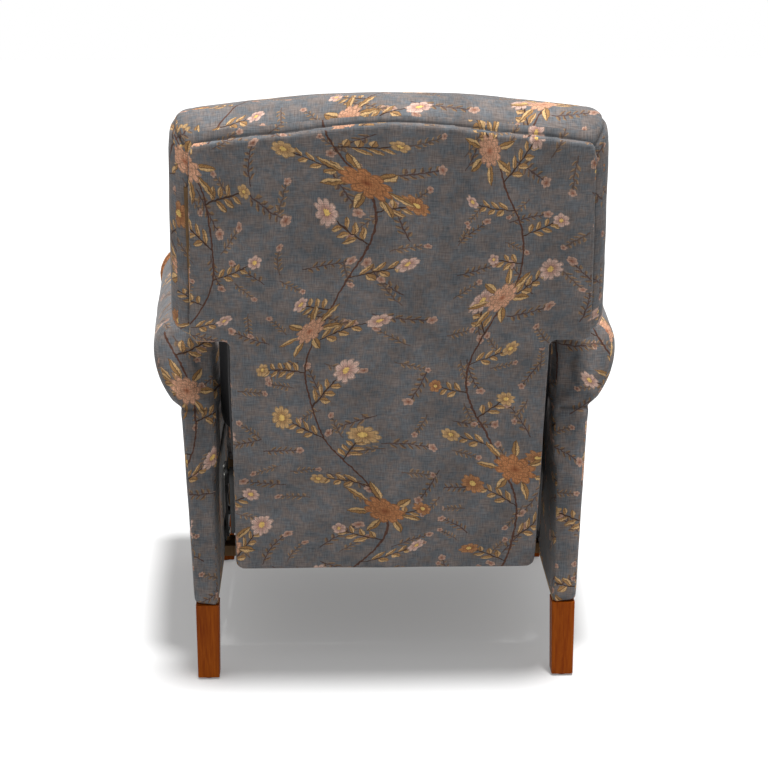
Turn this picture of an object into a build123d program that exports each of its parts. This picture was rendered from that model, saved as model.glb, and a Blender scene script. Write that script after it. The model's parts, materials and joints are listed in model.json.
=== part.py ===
from build123d import *
import math
import os

# High leg recliner, millimetres. +Z up, front towards -Y, +X on the sitter's left.
# Depths below are measured forward from the rear feet; fy() turns them into Y.

# Legs
LEG_HEIGHT = 137.0
LEG_TOP = 41.0
LEG_FOOT = 38.0
LEG_EDGE = 3.0
LEG_PAST_PANEL = 0.5
FRONT_LEG_INSET = 24.0
GLIDE_R = 12.0
GLIDE_T = 4.0
LEG_BOLT_R = 4.0
LEG_BOLT_DOWN = 40.0
LEG_BOLT_UP = 45.0
REAR_RAKE = 3.5

# Sides and arms
PANEL_PAD = 6.0
PANEL_T = 18.0
PANEL_H = 453.0
PANEL_FOAM = 12.0
BLOCK_T = 16.0
BLOCK_H = 60.0
BLOCK_LEN = 44.0
ARM_FRONT = 628.0
ARM_FACE_T = 12.0
ARM_IN = 290.0
ARM_PAD_UP = 258.0
ARM_H = 518.0
ARM_ROLL_DROP = 57.0
ARM_NECK_DROP = 108.0
ARM_INNER_DROP = 8.0
ARM_REAR_ROLL_W = 109.0
ARM_FRONT_ROLL_W = 142.0
ARM_REAR_NECK_W = 63.0
ARM_FRONT_NECK_W = 82.0
ARM_REAR_FOOT_W = 48.0
ARM_FRONT_FOOT_W = 54.0

# Stretchers between the sides
STRETCHER_RISE = 2.0
STRETCHER_CLEAR = 10.0
FRONT_STRETCHER_T = 22.0
FRONT_STRETCHER_H = 58.0
REAR_STRETCHER_BACK = 15.0
REAR_STRETCHER_W = 60.0
REAR_STRETCHER_T = 20.0
SCREW_R = 2.5
SCREW_LEN = 54.0

# Steel plates, links and pins of the mechanism
PLATE_T = 4.0
LAYER_GAP = 1.0
PIN_R = 4.0
PIN_FIT = 0.05
HEAD_R = 7.0
HEAD_T = 2.0
HEAD_GAP = 0.3
LINK_HALF = 12.0
TUBE_R = 8.0
TUBE_WALL = 1.5
TUBE_UP = 45.0
PLATE_SCREW_R = 2.5
PLATE_SCREW_LEN = 18.0

# Seat swing: four equal links, leaning back at rest
SWING_LEN = 140.0
SWING_LEAN = 15.0
SWING_RANGE = 28.0
SWING_PIVOT_UP = 48.0
REAR_SWING_D = 265.0
FRONT_SWING_BEHIND = 115.0
BASE_PLATE_HALF = 20.0

# Seat box, springs and cushion
SEAT_RAIL_T = 22.0
SEAT_RAIL_UP = 125.0
SEAT_RAIL_H = 96.0
SEAT_BOX_REAR = 190.0
SEAT_BOX_INSET = 18.0
SEAT_PLATE_HALF = 16.0
WIRE_R = 1.9
SPRING_FIT = 0.3
SPRING_LEGS = 16
SPRING_HALF_W = 18.0
SEAT_SPRINGS = 5
SEAT_SPRING_STEP = 100.0
DECK_T = 5.0
CUSHION_SIDE_FIT = 9.0
CUSHION_REAR = 125.0
CUSHION_REAR_TOP = 106.0
CUSHION_OUT = 45.0
CUSHION_RISE = 139.0
CUSHION_EDGE_DROP = 18.0
CUSHION_CROWN = 8.0
CUSHION_UNDERCUT = 14.0
CUSHION_NOSE = 22.0
CUSHION_NOSE_DROP = 14.0
CUSHION_REAR_DROP = 10.0
CUSHION_DRAW = 8.0

# Back, in its own frame: s runs up the back, n runs forward from its rear face
BACK_LEAN = 16.0
BACK_LOW_UP = 63.0
BACK_LOW_D = 23.0
OUTSIDE_T = 12.0
OUTSIDE_TUCK = 2.0
BACK_FRAME_T = 35.0
STILE_COVER = 10.0
STILE_W = 30.0
STILE_LOW = 15.0
TOP_RAIL_COVER = 42.0
TOP_RAIL_RISE = 45.0
TOP_RAIL_END_H = 45.0
TOP_RAIL_INSET = 45.0
RAIL_H = 50.0
LUMBAR_LOW = 235.0
WING_BOARD_COVER = 33.0
WING_BOARD_RISE = 34.0
POCKET_FIT = 0.3
BACK_SPRINGS = 4
BACK_SPRING_STEP = 110.0
CUSHION_LOW_S = 215.0
BACK_SIDE_FIT = 24.0
WING_OVERHANG = 90.0
WING_LOW_S = 458.0
CREST_S = 872.0
CREST_DROP = 26.0
REAR_CREST_DROP = 36.0
BACK_DEPTH = 152.0
REAR_SEAM_IN = 31.0
REAR_SEAM_DROP = 10.0
WING_INNER_R = 18.0
WING_CORNER_R = 26.0
WING_TAPER = 12.0
CROWN_REAR_N = 45.0
CROWN_MID_N = 100.0
OUTSIDE_NOTCH_RISE = 4.0

# Back hinge and bracket
HINGE_D = 150.0
HINGE_UP = 193.0
RECLINE_RANGE = 35.0
RECEIVER_T = 10.0
BRACKET_HALF = 15.0
BRACKET_LOW_S = 75.0
BRACKET_HIGH_S = 180.0
BOSS_R = 13.0

# Footrest linkage
CARRIER_INSET = 10.0
CARRIER_UP = 193.0
CARRIER_LEN = 150.0
CARRIER_REST = -106.5
CARRIER_RANGE = 94.5
SCISSOR_END = 29.0
STEER_OFFSET = 64.0
FOOT_LINK_HALF = 9.5
FOOT_PIVOT_BEHIND = 24.0
FOOT_PIVOT_UP = 159.0
BOARD_CLEAR = 9.0
BOARD_T = 15.0
PAD_SIDE_FIT = 4.0
BOARD_UP = 36.0
BOARD_H = 220.0
PAD_T = 24.0
PAD_WRAP = 7.0
PAD_OVER = 20.0
PAD_RISE = 8.0
PAD_CORNER = 14.0
PAD_EDGE_DRAW = 6.0
PAD_FACE_DRAW = 24.0
PAD_SEAM_DRAW = 4.0
FOOT_BRACKET_RIM = 3.0
FLANGE_LAP = 40.0
FLANGE_DROP = 30.0

# Places that follow from the sizes above: heights stand on the legs, widths on the room between the arms
PANEL_IN = ARM_IN + PANEL_PAD
PANEL_OUT = PANEL_IN + PANEL_T
PANEL_TOP = LEG_HEIGHT + PANEL_H
LEG_X = PANEL_OUT + LEG_PAST_PANEL
ARM_PAD_LOW = LEG_HEIGHT + ARM_PAD_UP
ARM_TOP = LEG_HEIGHT + ARM_H
ARM_ROLL_Z = ARM_TOP - ARM_ROLL_DROP
ARM_NECK_Z = ARM_ROLL_Z - ARM_NECK_DROP
ARM_REAR_ROLL_X = ARM_IN + ARM_REAR_ROLL_W
ARM_FRONT_ROLL_X = ARM_IN + ARM_FRONT_ROLL_W
ARM_REAR_NECK_X = ARM_IN + ARM_REAR_NECK_W
ARM_FRONT_NECK_X = ARM_IN + ARM_FRONT_NECK_W
ARM_REAR_FOOT_X = ARM_IN + ARM_REAR_FOOT_W
ARM_FRONT_FOOT_X = ARM_IN + ARM_FRONT_FOOT_W
SEAT_BOX_FRONT = ARM_FRONT - SEAT_BOX_INSET
CUSHION_FRONT = SEAT_BOX_FRONT + CUSHION_OUT
CARRIER_D = SEAT_BOX_FRONT - CARRIER_INSET
FRONT_SWING_D = CARRIER_D - FRONT_SWING_BEHIND
SWING_PIVOT_Z = LEG_HEIGHT + SWING_PIVOT_UP
SEAT_RAIL_LOW = LEG_HEIGHT + SEAT_RAIL_UP
SEAT_RAIL_TOP = SEAT_RAIL_LOW + SEAT_RAIL_H
CUSHION_HALF = ARM_IN - CUSHION_SIDE_FIT
CUSHION_TOP = SEAT_RAIL_TOP + CUSHION_RISE
BACK_LOW_Z = LEG_HEIGHT + BACK_LOW_UP
NARROW_HALF = ARM_IN - BACK_SIDE_FIT
WING_HALF = NARROW_HALF + WING_OVERHANG
HINGE_Z = LEG_HEIGHT + HINGE_UP
CARRIER_Z = LEG_HEIGHT + CARRIER_UP
BOARD_D = CUSHION_FRONT + BOARD_CLEAR
FOOT_PIVOT_D = BOARD_D - FOOT_PIVOT_BEHIND
FOOT_PIVOT_Z = LEG_HEIGHT + FOOT_PIVOT_UP
BOARD_LOW = LEG_HEIGHT + BOARD_UP
BOARD_HIGH = BOARD_LOW + BOARD_H
FRONT_LEG_D = ARM_FRONT - FRONT_LEG_INSET
STRETCHER_LOW = LEG_HEIGHT + STRETCHER_RISE
FRONT_STRETCHER_D = FRONT_SWING_D + BASE_PLATE_HALF + STRETCHER_CLEAR
REAR_STRETCHER_D = REAR_SWING_D - REAR_STRETCHER_BACK
OUTSIDE_HALF_LOW = NARROW_HALF - OUTSIDE_TUCK
STILE_OUT = NARROW_HALF - STILE_COVER
TOP_RAIL_CREST = CREST_S - TOP_RAIL_COVER
TOP_RAIL_END = TOP_RAIL_CREST - TOP_RAIL_RISE
TOP_RAIL_LOW = TOP_RAIL_END - TOP_RAIL_END_H
TOP_RAIL_HALF = WING_HALF - TOP_RAIL_INSET
WING_BOARD_OUT = WING_HALF - WING_BOARD_COVER
WING_BOARD_LOW = WING_LOW_S + WING_BOARD_RISE
PAD_HALF = ARM_IN - PAD_SIDE_FIT
BOARD_HALF = PAD_HALF - PAD_OVER

# Layers of the mechanism, from the side panel inwards
BASE_PLATE_IN = PANEL_IN - PLATE_T
LINK_OUT = BASE_PLATE_IN - LAYER_GAP
LINK_IN = LINK_OUT - PLATE_T
SEAT_PLATE_OUT = LINK_IN - LAYER_GAP
SEAT_PLATE_IN = SEAT_PLATE_OUT - PLATE_T
BRACKET_IN = STILE_OUT + RECEIVER_T
BRACKET_OUT = BRACKET_IN + PLATE_T
FRAME_N = OUTSIDE_T
FRAME_FRONT_N = OUTSIDE_T + BACK_FRAME_T

# Fore and aft reach of the chair, and the place of its middle
LEAN_SIN = math.sin(math.radians(BACK_LEAN))
LEAN_COS = math.cos(math.radians(BACK_LEAN))
RAKE_TAN = math.tan(math.radians(REAR_RAKE))
OUTSIDE_CREST = CREST_S - REAR_SEAM_DROP
FRONT_REACH = BOARD_D + BOARD_T + PAD_T
REAR_REACH = BACK_LOW_D - OUTSIDE_CREST * LEAN_SIN
MIDDLE_D = (FRONT_REACH + REAR_REACH) / 2

parts = {}


def fy(depth):
    """Y of a point that lies so far forward of the rear feet."""
    return MIDDLE_D - depth


def back_point(n, s):
    """Depth and height of a point of the back."""
    depth = BACK_LOW_D - s * LEAN_SIN + n * LEAN_COS
    return depth, BACK_LOW_Z + s * LEAN_COS + n * LEAN_SIN


def polar(start, length, angle):
    """Depth and height at a length and angle from a start, 0 degrees being forward."""
    turn = math.radians(angle)
    return start[0] + length * math.cos(turn), start[1] + length * math.sin(turn)


def along(start, end, share):
    """Point at a share of the way between two points."""
    return start[0] + share * (end[0] - start[0]), start[1] + share * (end[1] - start[1])


def block(x0, x1, d0, d1, z0, z1):
    """Box between two corners, given by X, depth and height."""
    size = Box(x1 - x0, d1 - d0, z1 - z0)
    return Pos((x0 + x1) / 2, fy((d0 + d1) / 2), (z0 + z1) / 2) * size


def back_block(x0, x1, n0, n1, s0, s1):
    """Box in the back's own frame."""
    size = Box(x1 - x0, n1 - n0, s1 - s0)
    return in_back(Pos((x0 + x1) / 2, -(n0 + n1) / 2, (s0 + s1) / 2) * size)


def in_back(shape):
    """Carry a shape from the back's own frame to its place on the chair."""
    return Pos(0, fy(BACK_LOW_D), BACK_LOW_Z) * Rot(-BACK_LEAN, 0, 0) * shape


def rod(point, x0, x1, radius):
    """Round rod along X at a depth and height."""
    disc = Pos(fy(point[0]), point[1]) * Circle(radius)
    return extrude(Plane.YZ.offset(x0) * disc, amount=x1 - x0)


def bar(points, half, x0, x1):
    """Flat steel bar with round ends through points given by depth and height."""
    outline = None
    for start, end in zip(points, points[1:]):
        run = math.hypot(end[0] - start[0], end[1] - start[1])
        turn = math.degrees(math.atan2(end[1] - start[1], start[0] - end[0]))
        middle = along(start, end, 0.5)
        slot = Pos(fy(middle[0]), middle[1]) * Rot(0, 0, turn) * SlotCenterToCenter(run, 2 * half)
        outline = slot if outline is None else outline + slot
    return extrude(Plane.YZ.offset(x0) * outline, amount=x1 - x0)


def drilled(shape, points, radius):
    """Shape with round holes along X."""
    box = shape.bounding_box()
    for point in points:
        shape = shape - rod(point, box.min.X - 1, box.max.X + 1, radius)
    return shape


def rivet(point, x0, x1, inner_gap, outer_gap):
    """Headed pin along X that grips plates from x0 to x1, with end play under its heads."""
    low = x0 - inner_gap
    high = x1 + outer_gap
    pin = rod(point, low - HEAD_T, high + HEAD_T, PIN_R)
    pin = pin + rod(point, low - HEAD_T, low, HEAD_R)
    return pin + rod(point, high, high + HEAD_T, HEAD_R)


def stud(point, x0, x1, x_head, radius):
    """Pin along X with one round head that ends at x_head."""
    side = 1 if x_head > x1 else -1
    near = x_head - side * HEAD_T
    shaft = rod(point, min(x0, x_head), max(x1, x_head), radius)
    return shaft + rod(point, min(near, x_head), max(near, x_head), HEAD_R)


def both_sides(shape):
    """Shape with its mirror image on the other side."""
    return [shape, mirror(shape, about=Plane.YZ)]


def pair(name, shape):
    """Left and right nodes from the left shape."""
    left, right = both_sides(shape)
    parts["left_" + name] = left
    parts["right_" + name] = right


def group(name, shapes):
    """One node that holds several separate solids."""
    parts[name] = Compound(children=[solid for shape in shapes for solid in shape.solids()])


def chain(start, steps):
    """Closed face from 3D points: a step is an end point, or a middle and an end of an arc."""
    edges = []
    here = start
    for step in steps:
        if isinstance(step, tuple):
            edges.append(Edge.make_three_point_arc(here, step[0], step[1]))
            here = step[1]
        else:
            edges.append(Edge.make_line(here, step))
            here = step
    if (here - start).length > PIN_FIT:
        edges.append(Edge.make_line(here, start))
    return Face(Wire(edges))


# Pivots of the mechanism, as depth and height
hinge = (HINGE_D, HINGE_Z)
rear_foot = (REAR_SWING_D, SWING_PIVOT_Z)
front_foot = (FRONT_SWING_D, SWING_PIVOT_Z)
rear_head = polar(rear_foot, SWING_LEN, 90 + SWING_LEAN)
front_head = polar(front_foot, SWING_LEN, 90 + SWING_LEAN)
carrier = (CARRIER_D, CARRIER_Z)
elbow = polar(carrier, CARRIER_LEN, CARRIER_REST)
steer_foot = polar(elbow, STEER_OFFSET, CARRIER_REST + 180)
foot_pivot = (FOOT_PIVOT_D, FOOT_PIVOT_Z)
steer_head = polar(foot_pivot, STEER_OFFSET, CARRIER_REST + 180)
hole = PIN_R + PIN_FIT


# Side panels: plywood, raked at the rear, with screw holes for the stretchers and the base plates
def rear_edge(z):
    """Depth of the raked rear face of the side at a height."""
    return z * RAKE_TAN


front_stretcher_mid = FRONT_STRETCHER_D + FRONT_STRETCHER_T / 2
rear_stretcher_z = STRETCHER_LOW + REAR_STRETCHER_T / 2
stretcher_screws = []
for share in (0.25, 0.75):
    stretcher_screws.append((front_stretcher_mid, STRETCHER_LOW + share * FRONT_STRETCHER_H))
    stretcher_screws.append((REAR_STRETCHER_D + share * REAR_STRETCHER_W, rear_stretcher_z))
base_screws = [along(rear_foot, front_foot, share) for share in (0.2, 0.4, 0.6, 0.8)]

panel_points = [
    (rear_edge(LEG_HEIGHT) + PANEL_FOAM, LEG_HEIGHT),
    (ARM_FRONT - PANEL_FOAM, LEG_HEIGHT),
    (ARM_FRONT - PANEL_FOAM, PANEL_TOP),
    (rear_edge(PANEL_TOP) + PANEL_FOAM, PANEL_TOP),
]
panel_outline = make_face(Polyline([(fy(d), z) for d, z in panel_points], close=True))
plain_panel = extrude(Plane.YZ.offset(PANEL_IN) * panel_outline, amount=PANEL_T)
side_panel = drilled(plain_panel, stretcher_screws, SCREW_R + PIN_FIT)
side_panel = drilled(side_panel, base_screws, PLATE_SCREW_R + PIN_FIT)
pair("side_panel", side_panel)

# Leg blocks on the outer face of each side panel, with the holes of the leg bolts
block_mid_x = PANEL_OUT + BLOCK_T / 2
rear_leg_d = rear_edge(LEG_HEIGHT) + LEG_TOP / 2
rear_block_d = rear_edge(LEG_HEIGHT + BLOCK_H) + PANEL_FOAM
bolt_edge = LEG_BOLT_R * 3
rear_bolt_d = rear_block_d + bolt_edge
front_bolt_d = FRONT_LEG_D
front_block_d = front_bolt_d + bolt_edge - BLOCK_LEN


def upright(x, depth, z0, z1, radius):
    """Round rod along Z."""
    return Pos(x, fy(depth), (z0 + z1) / 2) * Cylinder(radius, z1 - z0)


block_out = PANEL_OUT + BLOCK_T
block_top = LEG_HEIGHT + BLOCK_H
plain_blocks = []
blocks = []
for block_d, bolt_d in ((rear_block_d, rear_bolt_d), (front_block_d, front_bolt_d)):
    plain_block = block(PANEL_OUT, block_out, block_d, block_d + BLOCK_LEN, LEG_HEIGHT, block_top)
    bolt_hole = upright(block_mid_x, bolt_d, LEG_HEIGHT, LEG_HEIGHT + LEG_BOLT_UP, LEG_BOLT_R + PIN_FIT)
    plain_blocks.append(plain_block)
    blocks += both_sides(plain_block - bolt_hole)
group("leg_blocks", blocks)

# Legs: square, a little narrower at the foot, raked at the rear like the sides
leg_bottom = GLIDE_T


def leg(top_d, foot_d, bolt_d):
    """One wooden leg on the left side, with the blind hole of its bolt."""
    top = Pos(LEG_X, fy(top_d), LEG_HEIGHT) * RectangleRounded(LEG_TOP, LEG_TOP, LEG_EDGE)
    foot = Pos(LEG_X, fy(foot_d), leg_bottom) * RectangleRounded(LEG_FOOT, LEG_FOOT, LEG_EDGE)
    bolt_hole = upright(block_mid_x, bolt_d, LEG_HEIGHT - LEG_BOLT_DOWN, LEG_HEIGHT, LEG_BOLT_R + PIN_FIT)
    return loft([foot, top], ruled=True) - bolt_hole


rear_foot_d = LEG_FOOT / 2
legs = {"rear": (rear_leg_d, rear_foot_d, rear_bolt_d), "front": (FRONT_LEG_D, FRONT_LEG_D, front_bolt_d)}
glides = []
bolts = []
for place, (top_d, foot_d, bolt_d) in legs.items():
    left, right = both_sides(leg(top_d, foot_d, bolt_d))
    parts[place + "_left_leg"] = left
    parts[place + "_right_leg"] = right
    glides += both_sides(upright(LEG_X, foot_d, 0, GLIDE_T, GLIDE_R))
    bolt = upright(block_mid_x, bolt_d, LEG_HEIGHT - LEG_BOLT_DOWN, LEG_HEIGHT + LEG_BOLT_UP, LEG_BOLT_R)
    bolts += both_sides(bolt)
group("leg_glides", glides)
group("leg_bolts", bolts)


# Arm covers: a scroll section lofted from the raked rear to the wider front
def arm_section(roll_x, neck_x, foot_x, low, depth_at):
    """Scroll outline of the left arm on a plane whose depth depends on the height."""
    def at(x, z):
        return Vector(x, fy(depth_at(z)), z)

    top_x = ARM_IN + 0.45 * (roll_x - ARM_IN)
    roll_h = ARM_TOP - ARM_ROLL_Z
    steps = [
        at(PANEL_IN, ARM_PAD_LOW),
        at(ARM_IN, ARM_PAD_LOW),
        at(ARM_IN, ARM_ROLL_Z - ARM_INNER_DROP),
        (at(ARM_IN + 0.12 * (roll_x - ARM_IN), ARM_ROLL_Z + 0.66 * roll_h), at(top_x, ARM_TOP)),
        (at(roll_x - 0.14 * (roll_x - ARM_IN), ARM_ROLL_Z + 0.72 * roll_h), at(roll_x, ARM_ROLL_Z)),
        (at(roll_x - 0.20 * (roll_x - neck_x), (ARM_ROLL_Z + ARM_NECK_Z) / 2), at(neck_x, ARM_NECK_Z)),
        at(foot_x, low),
    ]
    return chain(at(PANEL_IN, low), steps)


rear_section = arm_section(ARM_REAR_ROLL_X, ARM_REAR_NECK_X, ARM_REAR_FOOT_X, LEG_HEIGHT, rear_edge)
front_sizes = (ARM_FRONT_ROLL_X, ARM_FRONT_NECK_X, ARM_FRONT_FOOT_X, LEG_HEIGHT)
front_section = arm_section(*front_sizes, lambda z: ARM_FRONT)
arm_cover = loft([rear_section, front_section], ruled=True)
arm_cover = arm_cover - plain_panel
for plain_block in plain_blocks:
    arm_cover = arm_cover - plain_block
pair("arm_cover", arm_cover)

# Arm front panels: the same scroll, as a flat padded facing
face_back = arm_section(*front_sizes, lambda z: ARM_FRONT)
arm_face = extrude(face_back, amount=ARM_FACE_T, dir=(0, -1, 0))
pair("arm_front_panel", arm_face)

# Stretchers
front_stretcher = block(-PANEL_IN, PANEL_IN, FRONT_STRETCHER_D, FRONT_STRETCHER_D + FRONT_STRETCHER_T,
                        STRETCHER_LOW, STRETCHER_LOW + FRONT_STRETCHER_H)
rear_stretcher = block(-PANEL_IN, PANEL_IN, REAR_STRETCHER_D, REAR_STRETCHER_D + REAR_STRETCHER_W,
                       STRETCHER_LOW, STRETCHER_LOW + REAR_STRETCHER_T)
screws = []
for place in stretcher_screws:
    for shape in both_sides(rod(place, PANEL_OUT - SCREW_LEN, PANEL_OUT, SCREW_R + PIN_FIT)):
        front_stretcher = front_stretcher - shape
        rear_stretcher = rear_stretcher - shape
    screws += both_sides(rod(place, PANEL_OUT - SCREW_LEN, PANEL_OUT, SCREW_R))
parts["front_stretcher"] = front_stretcher
parts["rear_stretcher"] = rear_stretcher

# Base plates on the inner faces of the side panels, with flush screws
base_plate = bar([rear_foot, front_foot], BASE_PLATE_HALF, BASE_PLATE_IN, PANEL_IN)
base_plate = drilled(base_plate, [rear_foot, front_foot], hole)
base_plate = drilled(base_plate, base_screws, PLATE_SCREW_R + PIN_FIT)
pair("base_plate", base_plate)
for place in base_screws:
    screws += both_sides(rod(place, BASE_PLATE_IN, BASE_PLATE_IN + PLATE_SCREW_LEN, PLATE_SCREW_R))
group("frame_screws", screws)
base_pins = []
for place in (rear_foot, front_foot):
    base_pins += both_sides(stud(place, LINK_IN, PANEL_IN, LINK_IN - HEAD_GAP - HEAD_T, PIN_R))
group("base_pivot_pins", base_pins)

# Swing links, each pair tied by a tube
for place, low, high in (("rear", rear_foot, rear_head), ("front", front_foot, front_head)):
    link = drilled(bar([low, high], LINK_HALF, LINK_IN, LINK_OUT), [low, high], hole)
    pair(place + "_link", link)
    tube_at = along(low, high, TUBE_UP / SWING_LEN)
    tube = rod(tube_at, -LINK_IN, LINK_IN, TUBE_R) - rod(tube_at, -LINK_IN, LINK_IN, TUBE_R - TUBE_WALL)
    parts[place + "_swing_tube"] = tube

# Seat plates, pins and screws
seat_pivots = [hinge, rear_head, front_head, carrier]
seat_screws = [along(rear_head, front_head, share) for share in (0.25, 0.5, 0.75)]
seat_screws.append(along(front_head, carrier, 0.5))
seat_plate = bar(seat_pivots, SEAT_PLATE_HALF, SEAT_PLATE_IN, SEAT_PLATE_OUT)
seat_plate = drilled(seat_plate, seat_pivots, hole)
seat_plate = drilled(seat_plate, seat_screws, PLATE_SCREW_R + PIN_FIT)
pair("seat_plate", seat_plate)
seat_pins = []
for place in (rear_head, front_head, carrier):
    seat_pins += both_sides(stud(place, SEAT_PLATE_IN, LINK_OUT, LINK_OUT + HEAD_GAP + HEAD_T, PIN_R))
seat_pins += both_sides(rivet(hinge, BRACKET_IN, SEAT_PLATE_OUT, HEAD_GAP, 0))
group("seat_pivot_pins", seat_pins)
plate_screws = []
screw_tip = SEAT_PLATE_OUT - PLATE_SCREW_LEN
for place in seat_screws:
    plate_screws += both_sides(rod(place, screw_tip, SEAT_PLATE_OUT, PLATE_SCREW_R))
group("seat_plate_screws", plate_screws)

# Seat box
rail_in = SEAT_PLATE_IN - SEAT_RAIL_T
side_rail = block(rail_in, SEAT_PLATE_IN, SEAT_BOX_REAR, SEAT_BOX_FRONT, SEAT_RAIL_LOW, SEAT_RAIL_TOP)
for place in seat_screws:
    side_rail = side_rail - rod(place, screw_tip, SEAT_PLATE_OUT, PLATE_SCREW_R + PIN_FIT)
group("seat_side_rails", both_sides(side_rail))
rear_rail_front = SEAT_BOX_REAR + SEAT_RAIL_T
front_rail_rear = SEAT_BOX_FRONT - SEAT_RAIL_T
rear_rail = block(-rail_in, rail_in, SEAT_BOX_REAR, rear_rail_front, SEAT_RAIL_LOW, SEAT_RAIL_TOP)
front_rail = block(-rail_in, rail_in, front_rail_rear, SEAT_BOX_FRONT, SEAT_RAIL_LOW, SEAT_RAIL_TOP)
parts["seat_rear_rail"] = rear_rail
parts["seat_front_rail"] = front_rail


# Sinuous springs: straight legs joined by half turns, one unbroken wire each
def sinuous(run):
    """Zigzag spring of a given run along local Y, lying in the local XY plane."""
    turn_r = run / (SPRING_LEGS - 1) / 2
    edges = []
    side = 1
    for leg_number in range(SPRING_LEGS):
        y = leg_number * 2 * turn_r
        leg_end = Vector(side * SPRING_HALF_W, y, 0)
        edges.append(Edge.make_line(Vector(-side * SPRING_HALF_W, y, 0), leg_end))
        if leg_number < SPRING_LEGS - 1:
            bulge = Vector(side * (SPRING_HALF_W + turn_r), y + turn_r, 0)
            next_leg = Vector(side * SPRING_HALF_W, y + 2 * turn_r, 0)
            edges.append(Edge.make_three_point_arc(leg_end, bulge, next_leg))
        side = -side
    path = Wire(edges)
    section = Plane(origin=path @ 0, z_dir=path % 0) * Circle(WIRE_R)
    print("sinuous spring: least gap between legs", round(2 * turn_r - 2 * WIRE_R, 2))
    return sweep(section, path=path)


def spring_row(count, step):
    """X places of a row of springs."""
    return [(number - (count - 1) / 2) * step for number in range(count)]


wire_z = SEAT_RAIL_TOP + SPRING_FIT + WIRE_R
seat_spring = sinuous(SEAT_BOX_FRONT - SEAT_BOX_REAR - SEAT_RAIL_T)
seat_spring_front = fy(SEAT_BOX_FRONT - SEAT_RAIL_T / 2)
seat_spring_row = spring_row(SEAT_SPRINGS, SEAT_SPRING_STEP)
group("seat_springs", [Pos(x, seat_spring_front, wire_z) * seat_spring for x in seat_spring_row])

# Deck pad and seat cushion
deck_low = wire_z + WIRE_R + SPRING_FIT
deck_top = deck_low + DECK_T
parts["seat_deck"] = block(-SEAT_PLATE_IN, SEAT_PLATE_IN, SEAT_BOX_REAR, SEAT_BOX_FRONT, deck_low, deck_top)
cushion_low = deck_top + SPRING_FIT


def cushion_section(x, drop, draw):
    """Side outline of the seat cushion at X, lowered and drawn in towards its sides."""
    def at(depth, z):
        return Vector(x, fy(depth), z)

    top = CUSHION_TOP - drop
    front = CUSHION_FRONT - draw
    middle = (cushion_low + top) / 2
    steps = [
        at(front - CUSHION_UNDERCUT, cushion_low),
        (at(front, middle), at(front - CUSHION_NOSE, top - CUSHION_NOSE_DROP)),
        (at((front + CUSHION_REAR_TOP) / 2, top + CUSHION_CROWN),
         at(CUSHION_REAR_TOP + draw, top - CUSHION_REAR_DROP)),
    ]
    return chain(at(CUSHION_REAR + draw, cushion_low), steps)


cushion_sections = []
for share, drop, draw in ((-1, 1, 1), (-0.86, 0.3, 0.1), (0, 0, 0), (0.86, 0.3, 0.1), (1, 1, 1)):
    drop_by = drop * CUSHION_EDGE_DROP
    cushion_sections.append(cushion_section(share * CUSHION_HALF, drop_by, draw * CUSHION_DRAW))
parts["seat_cushion"] = loft(cushion_sections, ruled=True)


# Back: frame of stiles, rails and wing boards
def back_outline(n, narrow, wing, low, wing_low, crest, crest_drop):
    """T-shaped outline of the back across its face, at a distance n from its rear."""
    inner_r = WING_INNER_R
    outer_r = WING_CORNER_R
    shoulder = crest - crest_drop
    wing_top = wing - WING_TAPER

    def at(x, s):
        return Vector(x, -n, s)

    def bend(x0, s0, x1, s1, corner_x, corner_s):
        """Middle of a quarter turn between two points, on the side of its corner."""
        pull = 1 / math.sqrt(2)
        mid_x = corner_x + (x0 + x1 - 2 * corner_x) * (1 - pull)
        mid_s = corner_s + (s0 + s1 - 2 * corner_s) * (1 - pull)
        return mid_x, mid_s

    right = [
        (narrow, low),
        (narrow, wing_low - inner_r),
        (bend(narrow, wing_low - inner_r, narrow + inner_r, wing_low, narrow, wing_low),
         (narrow + inner_r, wing_low)),
        (wing - outer_r, wing_low),
        (bend(wing - outer_r, wing_low, wing, wing_low + outer_r, wing, wing_low),
         (wing, wing_low + outer_r)),
        (wing_top, shoulder - outer_r),
        (bend(wing_top, shoulder - outer_r, wing_top - outer_r, shoulder, wing_top, shoulder),
         (wing_top - outer_r, shoulder)),
        ((0.72 * wing, shoulder + 0.28 * crest_drop), (0.5 * wing, shoulder + 0.64 * crest_drop)),
    ]
    steps = []
    for step in right:
        if isinstance(step[0], tuple):
            steps.append((at(*step[0]), at(*step[1])))
        else:
            steps.append(at(*step))
    steps.append((at(0, crest), at(-0.5 * wing, shoulder + 0.64 * crest_drop)))
    starts = []
    for step in right:
        starts.append(step[1] if isinstance(step[0], tuple) else step)
    for number in range(len(right) - 1, 0, -1):
        x, s = starts[number - 1]
        if isinstance(right[number][0], tuple):
            mid_x, mid_s = right[number][0]
            steps.append((at(-mid_x, mid_s), at(-x, s)))
        else:
            steps.append(at(-x, s))
    return chain(at(-narrow, low), steps)


stile = back_block(STILE_OUT - STILE_W, STILE_OUT, FRAME_N, FRAME_FRONT_N, STILE_LOW, TOP_RAIL_LOW)
stile_in = STILE_OUT - STILE_W
for name, low in (("back_bottom_rail", STILE_LOW), ("back_lumbar_rail", LUMBAR_LOW)):
    parts[name] = back_block(-stile_in, stile_in, FRAME_N, FRAME_FRONT_N, low, low + RAIL_H)
wing_board = back_block(STILE_OUT, WING_BOARD_OUT, FRAME_N, FRAME_FRONT_N, WING_BOARD_LOW, TOP_RAIL_LOW)
group("wing_boards", both_sides(wing_board))


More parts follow.
